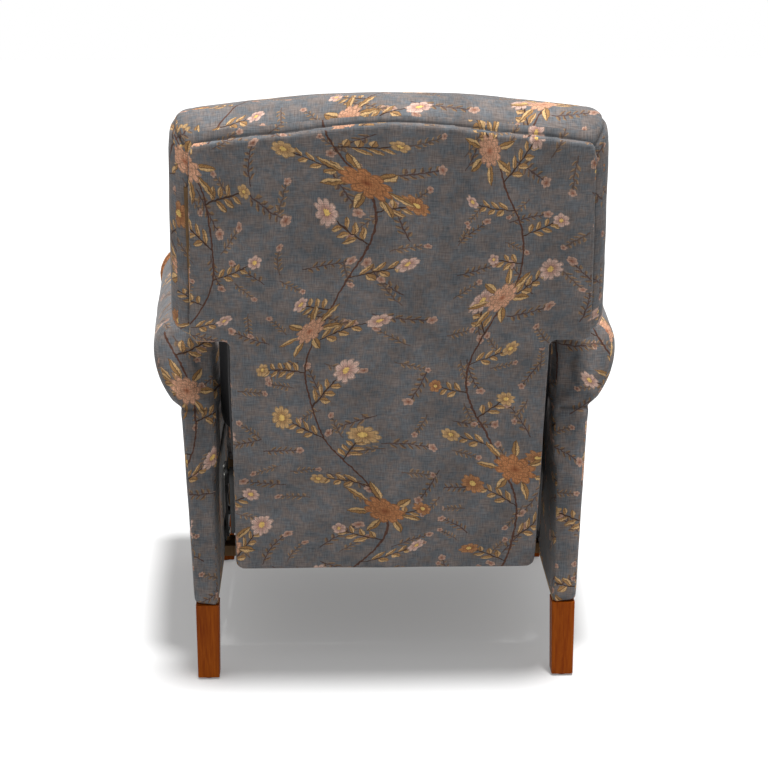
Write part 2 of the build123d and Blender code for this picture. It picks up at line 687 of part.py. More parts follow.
def top_rail_solid(spare, n1):
    """Camel-back top rail, or its pocket when given spare room."""
    half = TOP_RAIL_HALF + spare
    low = TOP_RAIL_LOW - spare
    end = TOP_RAIL_END + spare
    crest = TOP_RAIL_CREST + spare

    def at(x, s):
        return Vector(x, -FRAME_N, s)

    steps = [at(half, low), at(half, end), (at(0, crest), at(-half, end))]
    return in_back(extrude(chain(at(-half, low), steps), amount=n1 - FRAME_N, dir=(0, -1, 0)))


parts["back_top_rail"] = top_rail_solid(0, FRAME_FRONT_N)

# Back springs lie on the front faces of the lumbar and top rails
spring_n = FRAME_FRONT_N + SPRING_FIT + WIRE_R
spring_low = LUMBAR_LOW + RAIL_H / 2
spring_high = TOP_RAIL_LOW + RAIL_H / 2
upright_spring = Rot(90, 0, 0) * sinuous(spring_high - spring_low)
back_spring_row = spring_row(BACK_SPRINGS, BACK_SPRING_STEP)
group("back_springs", [in_back(Pos(x, -spring_n, spring_low) * upright_spring) for x in back_spring_row])

# Back cushion: crowned front, drawn-in rear seam, and a pocket over the frame and springs
crown_rows = [
    (OUTSIDE_T, REAR_SEAM_IN, 3, 0, REAR_SEAM_DROP - 3, REAR_CREST_DROP),
    (CROWN_REAR_N, 0, 0, 0, 0, CREST_DROP),
    (CROWN_MID_N, 2, 0, 0, 15, CREST_DROP),
    (0.91 * BACK_DEPTH, 17, 11, 6, 27, CREST_DROP),
    (BACK_DEPTH, 45, 38, 20, 62, CREST_DROP),
]
cap_sections = []
for n, wing_in, narrow_in, low_in, crest_in, crest_drop in crown_rows:
    low = CUSHION_LOW_S + low_in
    wing_low = WING_LOW_S + 0.6 * wing_in
    wing = WING_HALF - wing_in
    crest = CREST_S - crest_in
    narrow = NARROW_HALF - narrow_in
    cap_sections.append(back_outline(n, narrow, wing, low, wing_low, crest, crest_drop))
back_cushion = in_back(loft(cap_sections, ruled=True))
pocket_front = spring_n + WIRE_R + SPRING_FIT
pocket_half = STILE_OUT + POCKET_FIT
wing_pocket = WING_BOARD_OUT + POCKET_FIT
back_cushion = back_cushion - back_block(-pocket_half, pocket_half, FRAME_N, pocket_front, 0, TOP_RAIL_LOW)
back_cushion = back_cushion - back_block(-wing_pocket, wing_pocket, FRAME_N, FRAME_FRONT_N + POCKET_FIT,
                                         WING_BOARD_LOW - POCKET_FIT, TOP_RAIL_LOW)
back_cushion = back_cushion - top_rail_solid(POCKET_FIT, pocket_front)
parts["back_cushion"] = back_cushion

# Outside back: the flat fabric panel that closes the rear
outside_notch = WING_LOW_S + OUTSIDE_NOTCH_RISE
outside_wing = WING_HALF - REAR_SEAM_IN
outside_sizes = (OUTSIDE_HALF_LOW, outside_wing, 0, outside_notch, OUTSIDE_CREST, REAR_CREST_DROP)
outside_face = back_outline(0, *outside_sizes)
parts["outside_back"] = in_back(extrude(outside_face, amount=OUTSIDE_T, dir=(0, -1, 0)))

# Back brackets: a receiver along the stile and an arm to the hinge, with a spacer boss
bracket_n = FRAME_N + BACK_FRAME_T / 2
bracket_low = back_point(bracket_n, BRACKET_LOW_S)
bracket_high = back_point(bracket_n, BRACKET_HIGH_S)
bracket_mid = along(bracket_low, bracket_high, 0.5)
bracket = bar([bracket_low, bracket_high], BRACKET_HALF, STILE_OUT, BRACKET_OUT)
bracket = bracket + bar([bracket_mid, hinge], BRACKET_HALF, BRACKET_IN, BRACKET_OUT)
bracket = bracket + rod(hinge, BRACKET_OUT, SEAT_PLATE_IN - HEAD_GAP, BOSS_R)
bracket = drilled(bracket, [hinge], hole)
bracket_screws = [along(bracket_low, bracket_high, share) for share in (0.05, 0.5, 0.95)]
bracket = drilled(bracket, bracket_screws, PLATE_SCREW_R + PIN_FIT)
pair("back_bracket", bracket)
screw_in = BRACKET_OUT - 2 * PLATE_SCREW_LEN
stile_screws = []
for place in bracket_screws:
    stile = stile - rod(place, screw_in, BRACKET_OUT, PLATE_SCREW_R + PIN_FIT)
    stile_screws += both_sides(rod(place, screw_in, BRACKET_OUT, PLATE_SCREW_R))
pair("back_stile", stile)
group("back_bracket_screws", stile_screws)

# Footrest links
carrier_link = bar([carrier, elbow], FOOT_LINK_HALF, LINK_IN, LINK_OUT)
carrier_link = drilled(carrier_link, [carrier, steer_foot, elbow], hole)
pair("carrier_link", carrier_link)
scissor_link = bar([elbow, foot_pivot], FOOT_LINK_HALF, SEAT_PLATE_IN, SEAT_PLATE_OUT)
scissor_link = drilled(scissor_link, [elbow, foot_pivot], hole)
pair("scissor_link", scissor_link)
steering_link = bar([steer_foot, steer_head], FOOT_LINK_HALF, SEAT_PLATE_IN, SEAT_PLATE_OUT)
steering_link = drilled(steering_link, [steer_foot, steer_head], hole)
group("steering_links", both_sides(steering_link))
carrier_pins = []
for place in (elbow, steer_foot):
    carrier_pins += both_sides(rivet(place, SEAT_PLATE_IN, LINK_OUT, HEAD_GAP, 0))
group("carrier_pins", carrier_pins)

# Footrest board, pad and brackets
board = block(-BOARD_HALF, BOARD_HALF, BOARD_D, BOARD_D + BOARD_T, BOARD_LOW, BOARD_HIGH)
parts["footrest_board"] = board
pad_back = BOARD_D + BOARD_T - PAD_WRAP
pad_low = BOARD_LOW - PAD_RISE
pad_high = BOARD_HIGH + PAD_RISE


def pad_section(depth, draw):
    """Upright rectangle with rounded corners, drawn in by a given amount."""
    face = RectangleRounded(2 * (PAD_HALF - draw), pad_high - pad_low - 2 * draw, PAD_CORNER)
    middle = (pad_low + pad_high) / 2
    return Plane(origin=(0, fy(depth), middle), x_dir=(1, 0, 0), z_dir=(0, -1, 0)) * face


pad_sections = [pad_section(pad_back, PAD_SEAM_DRAW), pad_section(pad_back + 0.4 * PAD_T, 0)]
pad_sections.append(pad_section(FRONT_REACH - 0.2 * PAD_T, PAD_EDGE_DRAW))
pad_sections.append(pad_section(FRONT_REACH, PAD_FACE_DRAW))
parts["footrest_pad"] = loft(pad_sections, ruled=True) - board

flange_rear = BOARD_D - PLATE_T
flange_in = BOARD_HALF - FLANGE_LAP
flange_low = FOOT_PIVOT_Z - FLANGE_DROP
flange_top = steer_head[1] - FLANGE_DROP
foot_bracket = bar([foot_pivot, steer_head], FOOT_LINK_HALF + FOOT_BRACKET_RIM, LINK_IN, LINK_OUT)
web = block(LINK_IN, LINK_OUT, FOOT_PIVOT_D, BOARD_D, flange_low, steer_head[1])
flange = block(flange_in, LINK_OUT, flange_rear, BOARD_D, flange_low, flange_top)
foot_bracket = drilled(foot_bracket + web + flange, [foot_pivot, steer_head], hole)
pair("footrest_bracket", foot_bracket)
foot_pins = []
for place in (foot_pivot, steer_head):
    foot_pins += both_sides(rivet(place, SEAT_PLATE_IN, LINK_OUT, HEAD_GAP, 0))
group("footrest_pins", foot_pins)

# Write every node, and print the places of the joints in metres
os.makedirs("parts", exist_ok=True)
for name, shape in parts.items():
    export_step(shape, f"parts/{name}.step")
print("nodes", len(parts))
joint_places = {
    "rear_foot": rear_foot,
    "rear_head": rear_head,
    "front_foot": front_foot,
    "hinge": hinge,
    "carrier": carrier,
    "elbow": elbow,
    "steer_foot": steer_foot,
    "foot_pivot": foot_pivot,
}
for name, place in joint_places.items():
    print(name, [0, round(fy(place[0]) / 1000, 6), round(place[1] / 1000, 6)])
scissor_rest = math.degrees(math.atan2(foot_pivot[1] - elbow[1], foot_pivot[0] - elbow[0]))
scissor_turn = SCISSOR_END - scissor_rest - CARRIER_RANGE
turns = {"swing": SWING_RANGE, "recline": RECLINE_RANGE, "carrier": CARRIER_RANGE, "scissor": scissor_turn}
print(*[f"{name} {round(turn, 4)}" for name, turn in turns.items()])
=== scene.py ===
# %% [markdown]
# A high leg recliner, dressed over its CAD frame. The frame gives every board, link and pin at its true
# place, so this lesson only makes what an upholsterer adds: the covers, the padding and the finishes.
# The frame is loaded first, because each soft piece is fitted to a part of it and moves with it.

# %% Load the frame
import json
import math

import bmesh
import bpy
import numpy as np
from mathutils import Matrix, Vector


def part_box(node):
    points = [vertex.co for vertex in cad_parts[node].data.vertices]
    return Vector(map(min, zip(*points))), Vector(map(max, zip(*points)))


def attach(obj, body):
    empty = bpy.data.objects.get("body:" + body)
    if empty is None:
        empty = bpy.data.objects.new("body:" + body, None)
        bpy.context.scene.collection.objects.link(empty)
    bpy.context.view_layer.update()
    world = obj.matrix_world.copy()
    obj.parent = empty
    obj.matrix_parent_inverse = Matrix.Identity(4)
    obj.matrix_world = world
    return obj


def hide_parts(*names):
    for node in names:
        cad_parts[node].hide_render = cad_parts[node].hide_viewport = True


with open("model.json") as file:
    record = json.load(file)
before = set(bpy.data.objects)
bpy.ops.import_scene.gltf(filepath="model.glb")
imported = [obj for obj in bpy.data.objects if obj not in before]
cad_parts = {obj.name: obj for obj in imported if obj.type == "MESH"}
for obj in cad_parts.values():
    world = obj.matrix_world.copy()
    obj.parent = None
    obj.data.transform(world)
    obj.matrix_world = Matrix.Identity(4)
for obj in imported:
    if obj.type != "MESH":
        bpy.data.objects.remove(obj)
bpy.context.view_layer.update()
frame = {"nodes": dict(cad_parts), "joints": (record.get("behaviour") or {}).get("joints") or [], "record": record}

# %% [markdown]
# The chair is laid out in three directions: X across, depth forward from the rear feet, and Z up. The
# back has its own pair: s runs up its rear face and n runs forward from it. Two small functions turn
# these into scene metres, so that all the sizes below can be read off in millimetres, and two turn them
# back.

# %% Directions of the chair
MM = 0.001
REAR_PIVOT_DEPTH = 265.0
joint_places = {joint["name"]: joint["pos_m"] for joint in frame["joints"]}
MIDDLE_DEPTH = joint_places["recline_swing"][1] / MM + REAR_PIVOT_DEPTH
BACK_LEAN = math.radians(16.0)
BACK_LOW_DEPTH = 23.0
BACK_LOW_Z = 200.0
REAR_RAKE = math.tan(math.radians(3.5))


def place(x, depth, z):
    """Scene point from X, depth and height in millimetres."""
    return Vector((x, MIDDLE_DEPTH - depth, z)) * MM


def back_place(x, n, s):
    """Scene point from X, n and s of the back in millimetres."""
    depth = BACK_LOW_DEPTH - s * math.sin(BACK_LEAN) + n * math.cos(BACK_LEAN)
    return place(x, depth, BACK_LOW_Z + s * math.cos(BACK_LEAN) + n * math.sin(BACK_LEAN))


def chair_axes(points):
    """X, depth and height in millimetres of scene points, given as rows."""
    return points[:, 0] / MM, MIDDLE_DEPTH - points[:, 1] / MM, points[:, 2] / MM


def back_axes(points):
    """X, n and s in millimetres of scene points, as rows again."""
    x, depth, z = chair_axes(points)
    depth = depth - BACK_LOW_DEPTH
    z = z - BACK_LOW_Z
    s = z * math.cos(BACK_LEAN) - depth * math.sin(BACK_LEAN)
    n = z * math.sin(BACK_LEAN) + depth * math.cos(BACK_LEAN)
    return np.stack([x, n, s], axis=1)


print("the chair's middle lies", round(MIDDLE_DEPTH, 2), "mm forward of the rear feet")

# %% [markdown]
# Upholstery outlines are lines and arcs, as they are on a cutting pattern. An arc through three points is
# the easiest to read off a photograph. A piece is then lofted: closed loops of vertices are joined with
# bridge_loops and the ends are filled, which is what the editor's Bridge Edge Loops does.

# %% Outlines and lofts
SOFT_CORNER = 0.17


def arc(start, middle, end, count):
    """Points after start along the circle through three flat points, up to and with the end."""
    ax, ay = start
    bx, by = middle
    cx, cy = end
    twice = 2 * (ax * (by - cy) + bx * (cy - ay) + cx * (ay - by))
    sa, sb, sc = ax * ax + ay * ay, bx * bx + by * by, cx * cx + cy * cy
    ox = (sa * (by - cy) + sb * (cy - ay) + sc * (ay - by)) / twice
    oy = (sa * (cx - bx) + sb * (ax - cx) + sc * (bx - ax)) / twice
    radius = math.hypot(ax - ox, ay - oy)
    first = math.atan2(ay - oy, ax - ox)
    half = math.remainder(math.atan2(by - oy, bx - ox) - first, 2 * math.pi)
    whole = math.remainder(math.atan2(cy - oy, cx - ox) - first, 2 * math.pi)
    if half * whole < 0:
        whole += math.copysign(2 * math.pi, half)
    points = []
    for number in range(1, count + 1):
        turn = first + whole * number / count
        points.append((ox + radius * math.cos(turn), oy + radius * math.sin(turn)))
    return points


def corner(before, at, after, radius, count=5):
    """Points that round a corner of an outline."""
    one = Vector(before) - Vector(at)
    two = Vector(after) - Vector(at)
    start = Vector(at) + one.normalized() * radius
    end = Vector(at) + two.normalized() * radius
    middle = Vector(at) * SOFT_CORNER + (start + end) * ((1 - SOFT_CORNER) / 2)
    return [tuple(start)] + arc(tuple(start), tuple(middle), tuple(end), count)


def even(outline, count=None, step=None):
    """The same closed outline with even points, by their number or about a step apart, for square faces."""
    ring = np.array(outline + outline[:1])
    reach = np.concatenate([[0], np.cumsum(np.hypot(*np.diff(ring, axis=0).T))])
    count = count or max(8, round(reach[-1] / step))
    wanted = np.arange(count) * reach[-1] / count
    return np.stack([np.interp(wanted, reach, ring[:, 0]), np.interp(wanted, reach, ring[:, 1])], axis=1)


def drawn_in(flat, inset):
    """Closed outline, given as rows, with each point moved inwards."""
    heading = np.roll(flat, -1, axis=0) - np.roll(flat, 1, axis=0)
    heading /= np.linalg.norm(heading, axis=1, keepdims=True)
    return flat + inset * np.stack([heading[:, 1], -heading[:, 0]], axis=1)


def loft(rings):
    """Closed bmesh through rings of scene points, with both ends filled."""
    bm = bmesh.new()
    loops = []
    for ring in rings:
        verts = [bm.verts.new(point) for point in ring]
        loops.append([bm.edges.new(ends) for ends in zip(verts, verts[1:] + verts[:1])])
    for low, high in zip(loops, loops[1:]):
        bmesh.ops.bridge_loops(bm, edges=low + high)
    for end in (loops[0], loops[-1]):
        bmesh.ops.contextual_create(bm, geom=end)
    bmesh.ops.recalc_face_normals(bm, faces=bm.faces)
    return bm


def new_piece(name, bm):
    """Object that holds a finished bmesh, at the origin."""
    mesh = bpy.data.meshes.new(name)
    bm.to_mesh(mesh)
    bm.free()
    piece = bpy.data.objects.new(name, mesh)
    bpy.context.scene.collection.objects.link(piece)
    return piece


# %% [markdown]
# Soft pieces go through one workshop. A voxel remesh turns the plain form into even squares, a Cloth
# modifier with pressure swells it like stuffing in a sewn cover, and one subdivision smooths it. Points
# that are stapled or sewn to the frame are held by a vertex group, and no point may swell past a cap.

# %% The soft workshop
SETTLE_FRAMES = 20
# Strength of the painted shade along each seam line.
SEAM_SHADE = 0.72
SEAM_LINE = 1.9
SEAM_PRESS = 4.5
PUFF_AWAY = 13
PUFF_WIDTH = 9
NO_SEAM = 99.0


def read(items, key, width, kind=float):
    """One property of a mesh's vertices, loops or faces as rows."""
    flat = np.empty(len(items) * width, dtype=kind)
    items.foreach_get(key, flat)
    return flat.reshape(-1, width)


def coordinates(mesh):
    """Vertex places of a mesh as rows."""
    return read(mesh.vertices, "co", 3)


def move_vertices(mesh, points):
    """Put vertices at new places."""
    mesh.vertices.foreach_set("co", points.ravel())
    mesh.update()


def apply_modifiers(piece):
    """Keep what the modifiers made as the piece's own mesh."""
    graph = bpy.context.evaluated_depsgraph_get()
    done = bpy.data.meshes.new_from_object(piece.evaluated_get(graph))
    piece.modifiers.clear()
    plain = piece.data
    piece.data = done
    bpy.data.meshes.remove(plain)


def remesh(piece, voxel_mm, smooth_steps):
    """Even squares all over, with softened edges."""
    squares = piece.modifiers.new("squares", "REMESH")
    squares.mode = "VOXEL"
    squares.voxel_size = voxel_mm * MM
    soften = piece.modifiers.new("soften", "SMOOTH")
    soften.factor = 0.5
    soften.iterations = smooth_steps
    apply_modifiers(piece)


def swell(piece, held, pressure, cap_mm):
    """Fill a cover with pressure; held gives how firmly each point is kept, from 0 to 1."""
    rest = coordinates(piece.data)
    group = piece.vertex_groups.new(name="held")
    for index, weight in enumerate(held(rest)):
        if weight > 0:
            group.add([index], float(weight), "REPLACE")
    cloth = piece.modifiers.new("cover", "CLOTH")
    cloth.settings.quality = 4
    cloth.settings.mass = 0.3
    cloth.settings.use_pressure = True
    cloth.settings.uniform_pressure_force = pressure
    cloth.settings.vertex_group_mass = "held"
    cloth.settings.effector_weights.gravity = 0
    cloth.point_cache.frame_start = 1
    cloth.point_cache.frame_end = SETTLE_FRAMES
    for number in range(1, SETTLE_FRAMES + 1):
        bpy.context.scene.frame_set(number)
    apply_modifiers(piece)
    bpy.context.scene.frame_set(1)
    piece.vertex_groups.clear()
    shift = coordinates(piece.data) - rest
    length = np.linalg.norm(shift, axis=1, keepdims=True)
    shift *= np.minimum(1, cap_mm * MM / np.maximum(length, 1e-9))
    move_vertices(piece.data, rest + shift)
    print(piece.name, "swelled by up to", round(float(length.max()) / MM, 1), "mm, kept to", cap_mm)


def no_seams(points):
    """Distance from a seam on a cover that has none."""
    return np.full(len(points), NO_SEAM)


def finish_cover(piece, seam_gap, seam_depth_mm, ripple_mm, gap_shade=None, levels=1):
    """Subdivide, add the slight unevenness of stretched cloth, press the seams in and mark the painted shade of
    seams and gaps.
    """
    finer = piece.modifiers.new("finer", "SUBSURF")
    finer.levels = levels
    finer.render_levels = levels
    apply_modifiers(piece)
    points = coordinates(piece.data)
    outward = read(piece.data.vertex_normals, "vector", 3, np.float32).astype(float)
    x, y, z = (points / MM).T
    wave = np.sin(x / 31 + 1.7 * np.sin(z / 47)) * np.sin(z / 38 + 1.3 * np.sin((x + y) / 53))
    wave += 0.6 * np.sin(y / 27 + 1.9 * np.sin((z - x) / 61))
    gap = seam_gap(points)
    press = np.exp(-(gap / SEAM_PRESS) ** 2)
    puff = 0.35 * np.exp(-((gap - PUFF_AWAY) / PUFF_WIDTH) ** 2)
    lift = ripple_mm * wave * (1 - press) - seam_depth_mm * (press - puff)
    move_vertices(piece.data, points + outward * lift[:, None] * MM)
    # Painted shade: a dark line along each seam, and near black where the cover faces a deep gap.
    dark = SEAM_SHADE * np.exp(-(gap / SEAM_LINE) ** 2)
    if gap_shade is not None:
        dark = np.maximum(dark, gap_shade(points))
    shaded = piece.data.attributes.new("dark", "FLOAT", "POINT")
    shaded.data.foreach_set("value", dark.astype(np.float32))
    piece.data.shade_smooth()
    print(piece.name, len(piece.data.polygons), "faces")


def lay_print(piece, panels):
    """Give each face the cloth place of its panel, in metres, in a UV map of its own."""
    mesh = piece.data
    corners = read(mesh.loops, "vertex_index", 1, np.int32).ravel()
    sides = read(mesh.polygons, "loop_total", 1, np.int32).ravel()
    facing = np.repeat(read(mesh.polygons, "normal", 3), sides, axis=0)
    cloth_place = panels(coordinates(mesh), corners, facing)
    layer = mesh.uv_layers.new(name="print_uv")
    layer.data.foreach_set("uv", cloth_place.ravel().astype(np.float32))


# %% [markdown]
# Colours are written as the sRGB hex values that a picture shows, and Blender's sockets take linear
# light, so one function converts them. Materials are built from nodes, and a single helper adds any
# node: it sets the node's options, then links or fills its inputs in order or by name.

# %% Colour and node helpers


def colour(code):
    """Linear RGBA of an sRGB hex value."""
    levels = [int(code[place:place + 2], 16) / 255 for place in (1, 3, 5)]
    linear = [v / 12.92 if v <= 0.04045 else ((v + 0.055) / 1.055) ** 2.4 for v in levels]
    return (*linear, 1.0)


def add(tree, kind, *inputs, named=None, **options):
    """Add a node by kind or kind.OPERATION. Its inputs are sockets, nodes, hex colours or plain values."""
    kind, dot, operation = kind.partition(".")
    node = tree.nodes.new("ShaderNode" + kind)
    if dot:
        node.operation = operation
    for option, value in options.items():
        setattr(node, option, value)
    wanted = dict(enumerate(inputs))
    wanted.update(named or {})
    for key, value in wanted.items():
        if isinstance(value, str):
            value = colour(value)
        if isinstance(value, bpy.types.Node):
            value = value.outputs[0]
        if isinstance(value, bpy.types.NodeSocket):
            tree.links.new(value, node.inputs[key])
        else:
            node.inputs[key].default_value = value
    return node


def new_material(name):
    """Empty node material and its node tree."""
    material = bpy.data.materials.new(name)
    material.use_nodes = True
    material.node_tree.nodes.clear()
    return material, material.node_tree


def close_material(tree, shader):
    """Link a shader to the surface."""
    output = tree.nodes.new("ShaderNodeOutputMaterial")
    tree.links.new(shader.outputs[0], output.inputs["Surface"])


# %% [markdown]
# The cover is a linen-look cloth: grey yarn, printed with a trailing plant in gold, peach and russet. A
# print can be an image, but here it is drawn with nodes, so it stays sharp at any distance and can be
# laid on any panel. The cloth's own UV map is in metres, so every size here is the size on the bolt.
# First come three things that the plant is made of: a leaf, a flower and a twig. Each takes a place
# measured from its own middle or foot and gives back masks, which are 1 inside the drawing and 0
# outside.

# %% Leaf, flower and twig
INK = "#4d382e"
VEIN_STEP = 0.0038


def inked(tree, fill, lines, strength):
    """Colour of a motif with its lines drawn in ink."""
    return add(tree, "MixRGB", add(tree, "Math.MULTIPLY", lines, strength), fill, INK)


def repeat(tree, value, size, middle):
    """Number of the cell that a value falls in, and how far it is past a place in that cell."""
    number = add(tree, "Math.FLOOR", add(tree, "Math.DIVIDE", value, size))
    past = add(tree, "Math.FLOORED_MODULO", value, size)
    return number, add(tree, "Math.SUBTRACT", past, middle)


def leaf(tree, across, along, length, width):
    """Pointed leaf about the origin: its area, its drawn lines, and which half a point is in."""
    end = add(tree, "Math.DIVIDE", along, length / 2)
    side = add(tree, "Math.DIVIDE", across, width)
    away = add(tree, "Math.ABSOLUTE", side)
    square = add(tree, "Math.MULTIPLY", end, end)
    taper = add(tree, "Math.MULTIPLY_ADD", square, -1.0, 1.0)
    inside = add(tree, "Math.SUBTRACT", taper, away)
    edge = add(tree, "Math.LESS_THAN", inside, 0.17)
    rib = add(tree, "Math.LESS_THAN", away, 0.13)
    lines = add(tree, "Math.MAXIMUM", edge, rib)
    slant = add(tree, "Math.MULTIPLY_ADD", add(tree, "Math.ABSOLUTE", across), -1.3, along)
    vein = add(tree, "Math.LESS_THAN", add(tree, "Math.FLOORED_MODULO", slant, VEIN_STEP), VEIN_STEP * 0.3)
    lines = add(tree, "Math.MAXIMUM", lines, add(tree, "Math.MULTIPLY", vein, 0.55))
    area = add(tree, "MapRange", inside, 0.0, 0.08, interpolation_type="SMOOTHSTEP")
    return area, lines, add(tree, "Math.GREATER_THAN", side, 0.0)


def polar(tree, spot):
    """Distance and angle of a flat place from the origin."""
    x, y, _ = add(tree, "SeparateXYZ", spot).outputs
    far = add(tree, "VectorMath.LENGTH", spot).outputs["Value"]
    return far, add(tree, "Math.ARCTAN2", x, y)


def petals(tree, far, angle, radius, count, turn):
    """One ring of round petals: its area, its drawn lines, and how far out a point is, from 0 to 1."""
    half = add(tree, "Math.MULTIPLY", count, 0.5)
    lobe = add(tree, "Math.MULTIPLY", add(tree, "Math.ADD", angle, turn), half)
    lobe = add(tree, "Math.ABSOLUTE", add(tree, "Math.SINE", lobe))
    bulge = add(tree, "Math.POWER", lobe, 0.55)
    rim = add(tree, "Math.MULTIPLY", add(tree, "Math.MULTIPLY_ADD", bulge, 0.34, 0.66), radius)
    share = add(tree, "Math.DIVIDE", far, rim)
    edge = add(tree, "Math.GREATER_THAN", share, 0.87)
    fold = add(tree, "Math.LESS_THAN", lobe, 0.2)
    lines = add(tree, "Math.MAXIMUM", edge, fold)
    ray = add(tree, "Math.LESS_THAN", add(tree, "Math.FLOORED_MODULO", angle, 0.19), 0.05)
    lines = add(tree, "Math.MAXIMUM", lines, add(tree, "Math.MULTIPLY", ray, 0.6))
    area = add(tree, "MapRange", share, 1.0, 0.95, interpolation_type="SMOOTHSTEP")
    return area, lines, share


def bent(tree, spot, amount):
    """Place along a stem that bends to one side or the other."""
    run, rise, _ = add(tree, "SeparateXYZ", spot).outputs
    square = add(tree, "Math.MULTIPLY", run, run)
    curl = add(tree, "Math.MULTIPLY_ADD", amount, 5.0, -2.5)
    return add(tree, "CombineXYZ", run, add(tree, "Math.MULTIPLY_ADD", square, curl, rise), 0.0)


def twig(tree, spot, reach, step, length, width):
    """Stem from the origin along X with slanting leaves on both sides: its stem, leaves, lines and halves."""
    run, rise, _ = add(tree, "SeparateXYZ", spot).outputs
    lift = add(tree, "Math.ABSOLUTE", rise)
    begun = add(tree, "Math.GREATER_THAN", run, 0.0)
    ended = add(tree, "Math.LESS_THAN", run, reach)
    stem = add(tree, "Math.MULTIPLY", begun, ended)
    thin = add(tree, "MapRange", lift, 0.0014, 0.0008, interpolation_type="SMOOTHSTEP")
    stem = add(tree, "Math.MULTIPLY", stem, thin)
    over = add(tree, "Math.SIGN", rise)
    placed = add(tree, "Math.MULTIPLY_ADD", over, step / 4, run)
    rung = add(tree, "Math.FLOORED_MODULO", placed, step)
    foot = add(tree, "Math.SUBTRACT", placed, rung)
    shrink = add(tree, "Math.MULTIPLY_ADD", add(tree, "Math.DIVIDE", foot, reach), -0.42, 1.1)
    along = add(tree, "Math.MULTIPLY", add(tree, "Math.ADD", rung, lift), math.sqrt(0.5))
    across = add(tree, "Math.MULTIPLY", add(tree, "Math.SUBTRACT", rung, lift), math.sqrt(0.5))
    along = add(tree, "Math.SUBTRACT", add(tree, "Math.DIVIDE", along, shrink), length / 2 + 0.001)
    across = add(tree, "Math.DIVIDE", across, shrink)
    area, lines, half = leaf(tree, across, along, length, width)
    first = add(tree, "Math.GREATER_THAN", foot, step / 2)
    last = add(tree, "Math.LESS_THAN", foot, add(tree, "Math.SUBTRACT", reach, step / 2))
    area = add(tree, "Math.MULTIPLY", area, add(tree, "Math.MULTIPLY", first, last))
    return stem, area, lines, half


# %% [markdown]
# The plant grows up the cloth in swaying columns. A modulo folds the cloth into columns, and again into
# steps up each stem, so one drawing repeats. A white noise texture, read with the column's and the
# step's numbers, then gives every branch its own slope, bend, length and flower. A slow noise shifts
# the place first, which hides the grid. Thin dark twigs fill the ground between the branches, scattered
# by a Voronoi texture.

# %% Printed linen cloth
COOL_GROUND = "#6d7074"
WARM_GROUND = "#7e7571"
COLUMN = 0.245
BRANCH_STEP = 0.116
BLOOM_STEP = 0.35
BRANCH_FOOT = 0.024
DRIFT_SIZE = 0.33
DRIFT_REACH = 0.11
SHAKE_SIZE = 0.009
SHAKE_REACH = 0.004
SWAY_LENGTH = 0.57
SWAY_REACH = 0.045
COLUMN_RISE = 0.083
STAR_SECTOR = 2 * math.pi / 7
# Each kind: spacing, reach, leaf step, bud radius, and the colours of its stem and of both halves of a leaf.
TWIGS = ((0.104, 0.072, 0.0115, 0.0085, "#5c4a46", "#93785c", "#6b564c"),
         (0.086, 0.050, 0.0090, 0.0060, "#6b5a52", "#a08468", "#7c6655"))


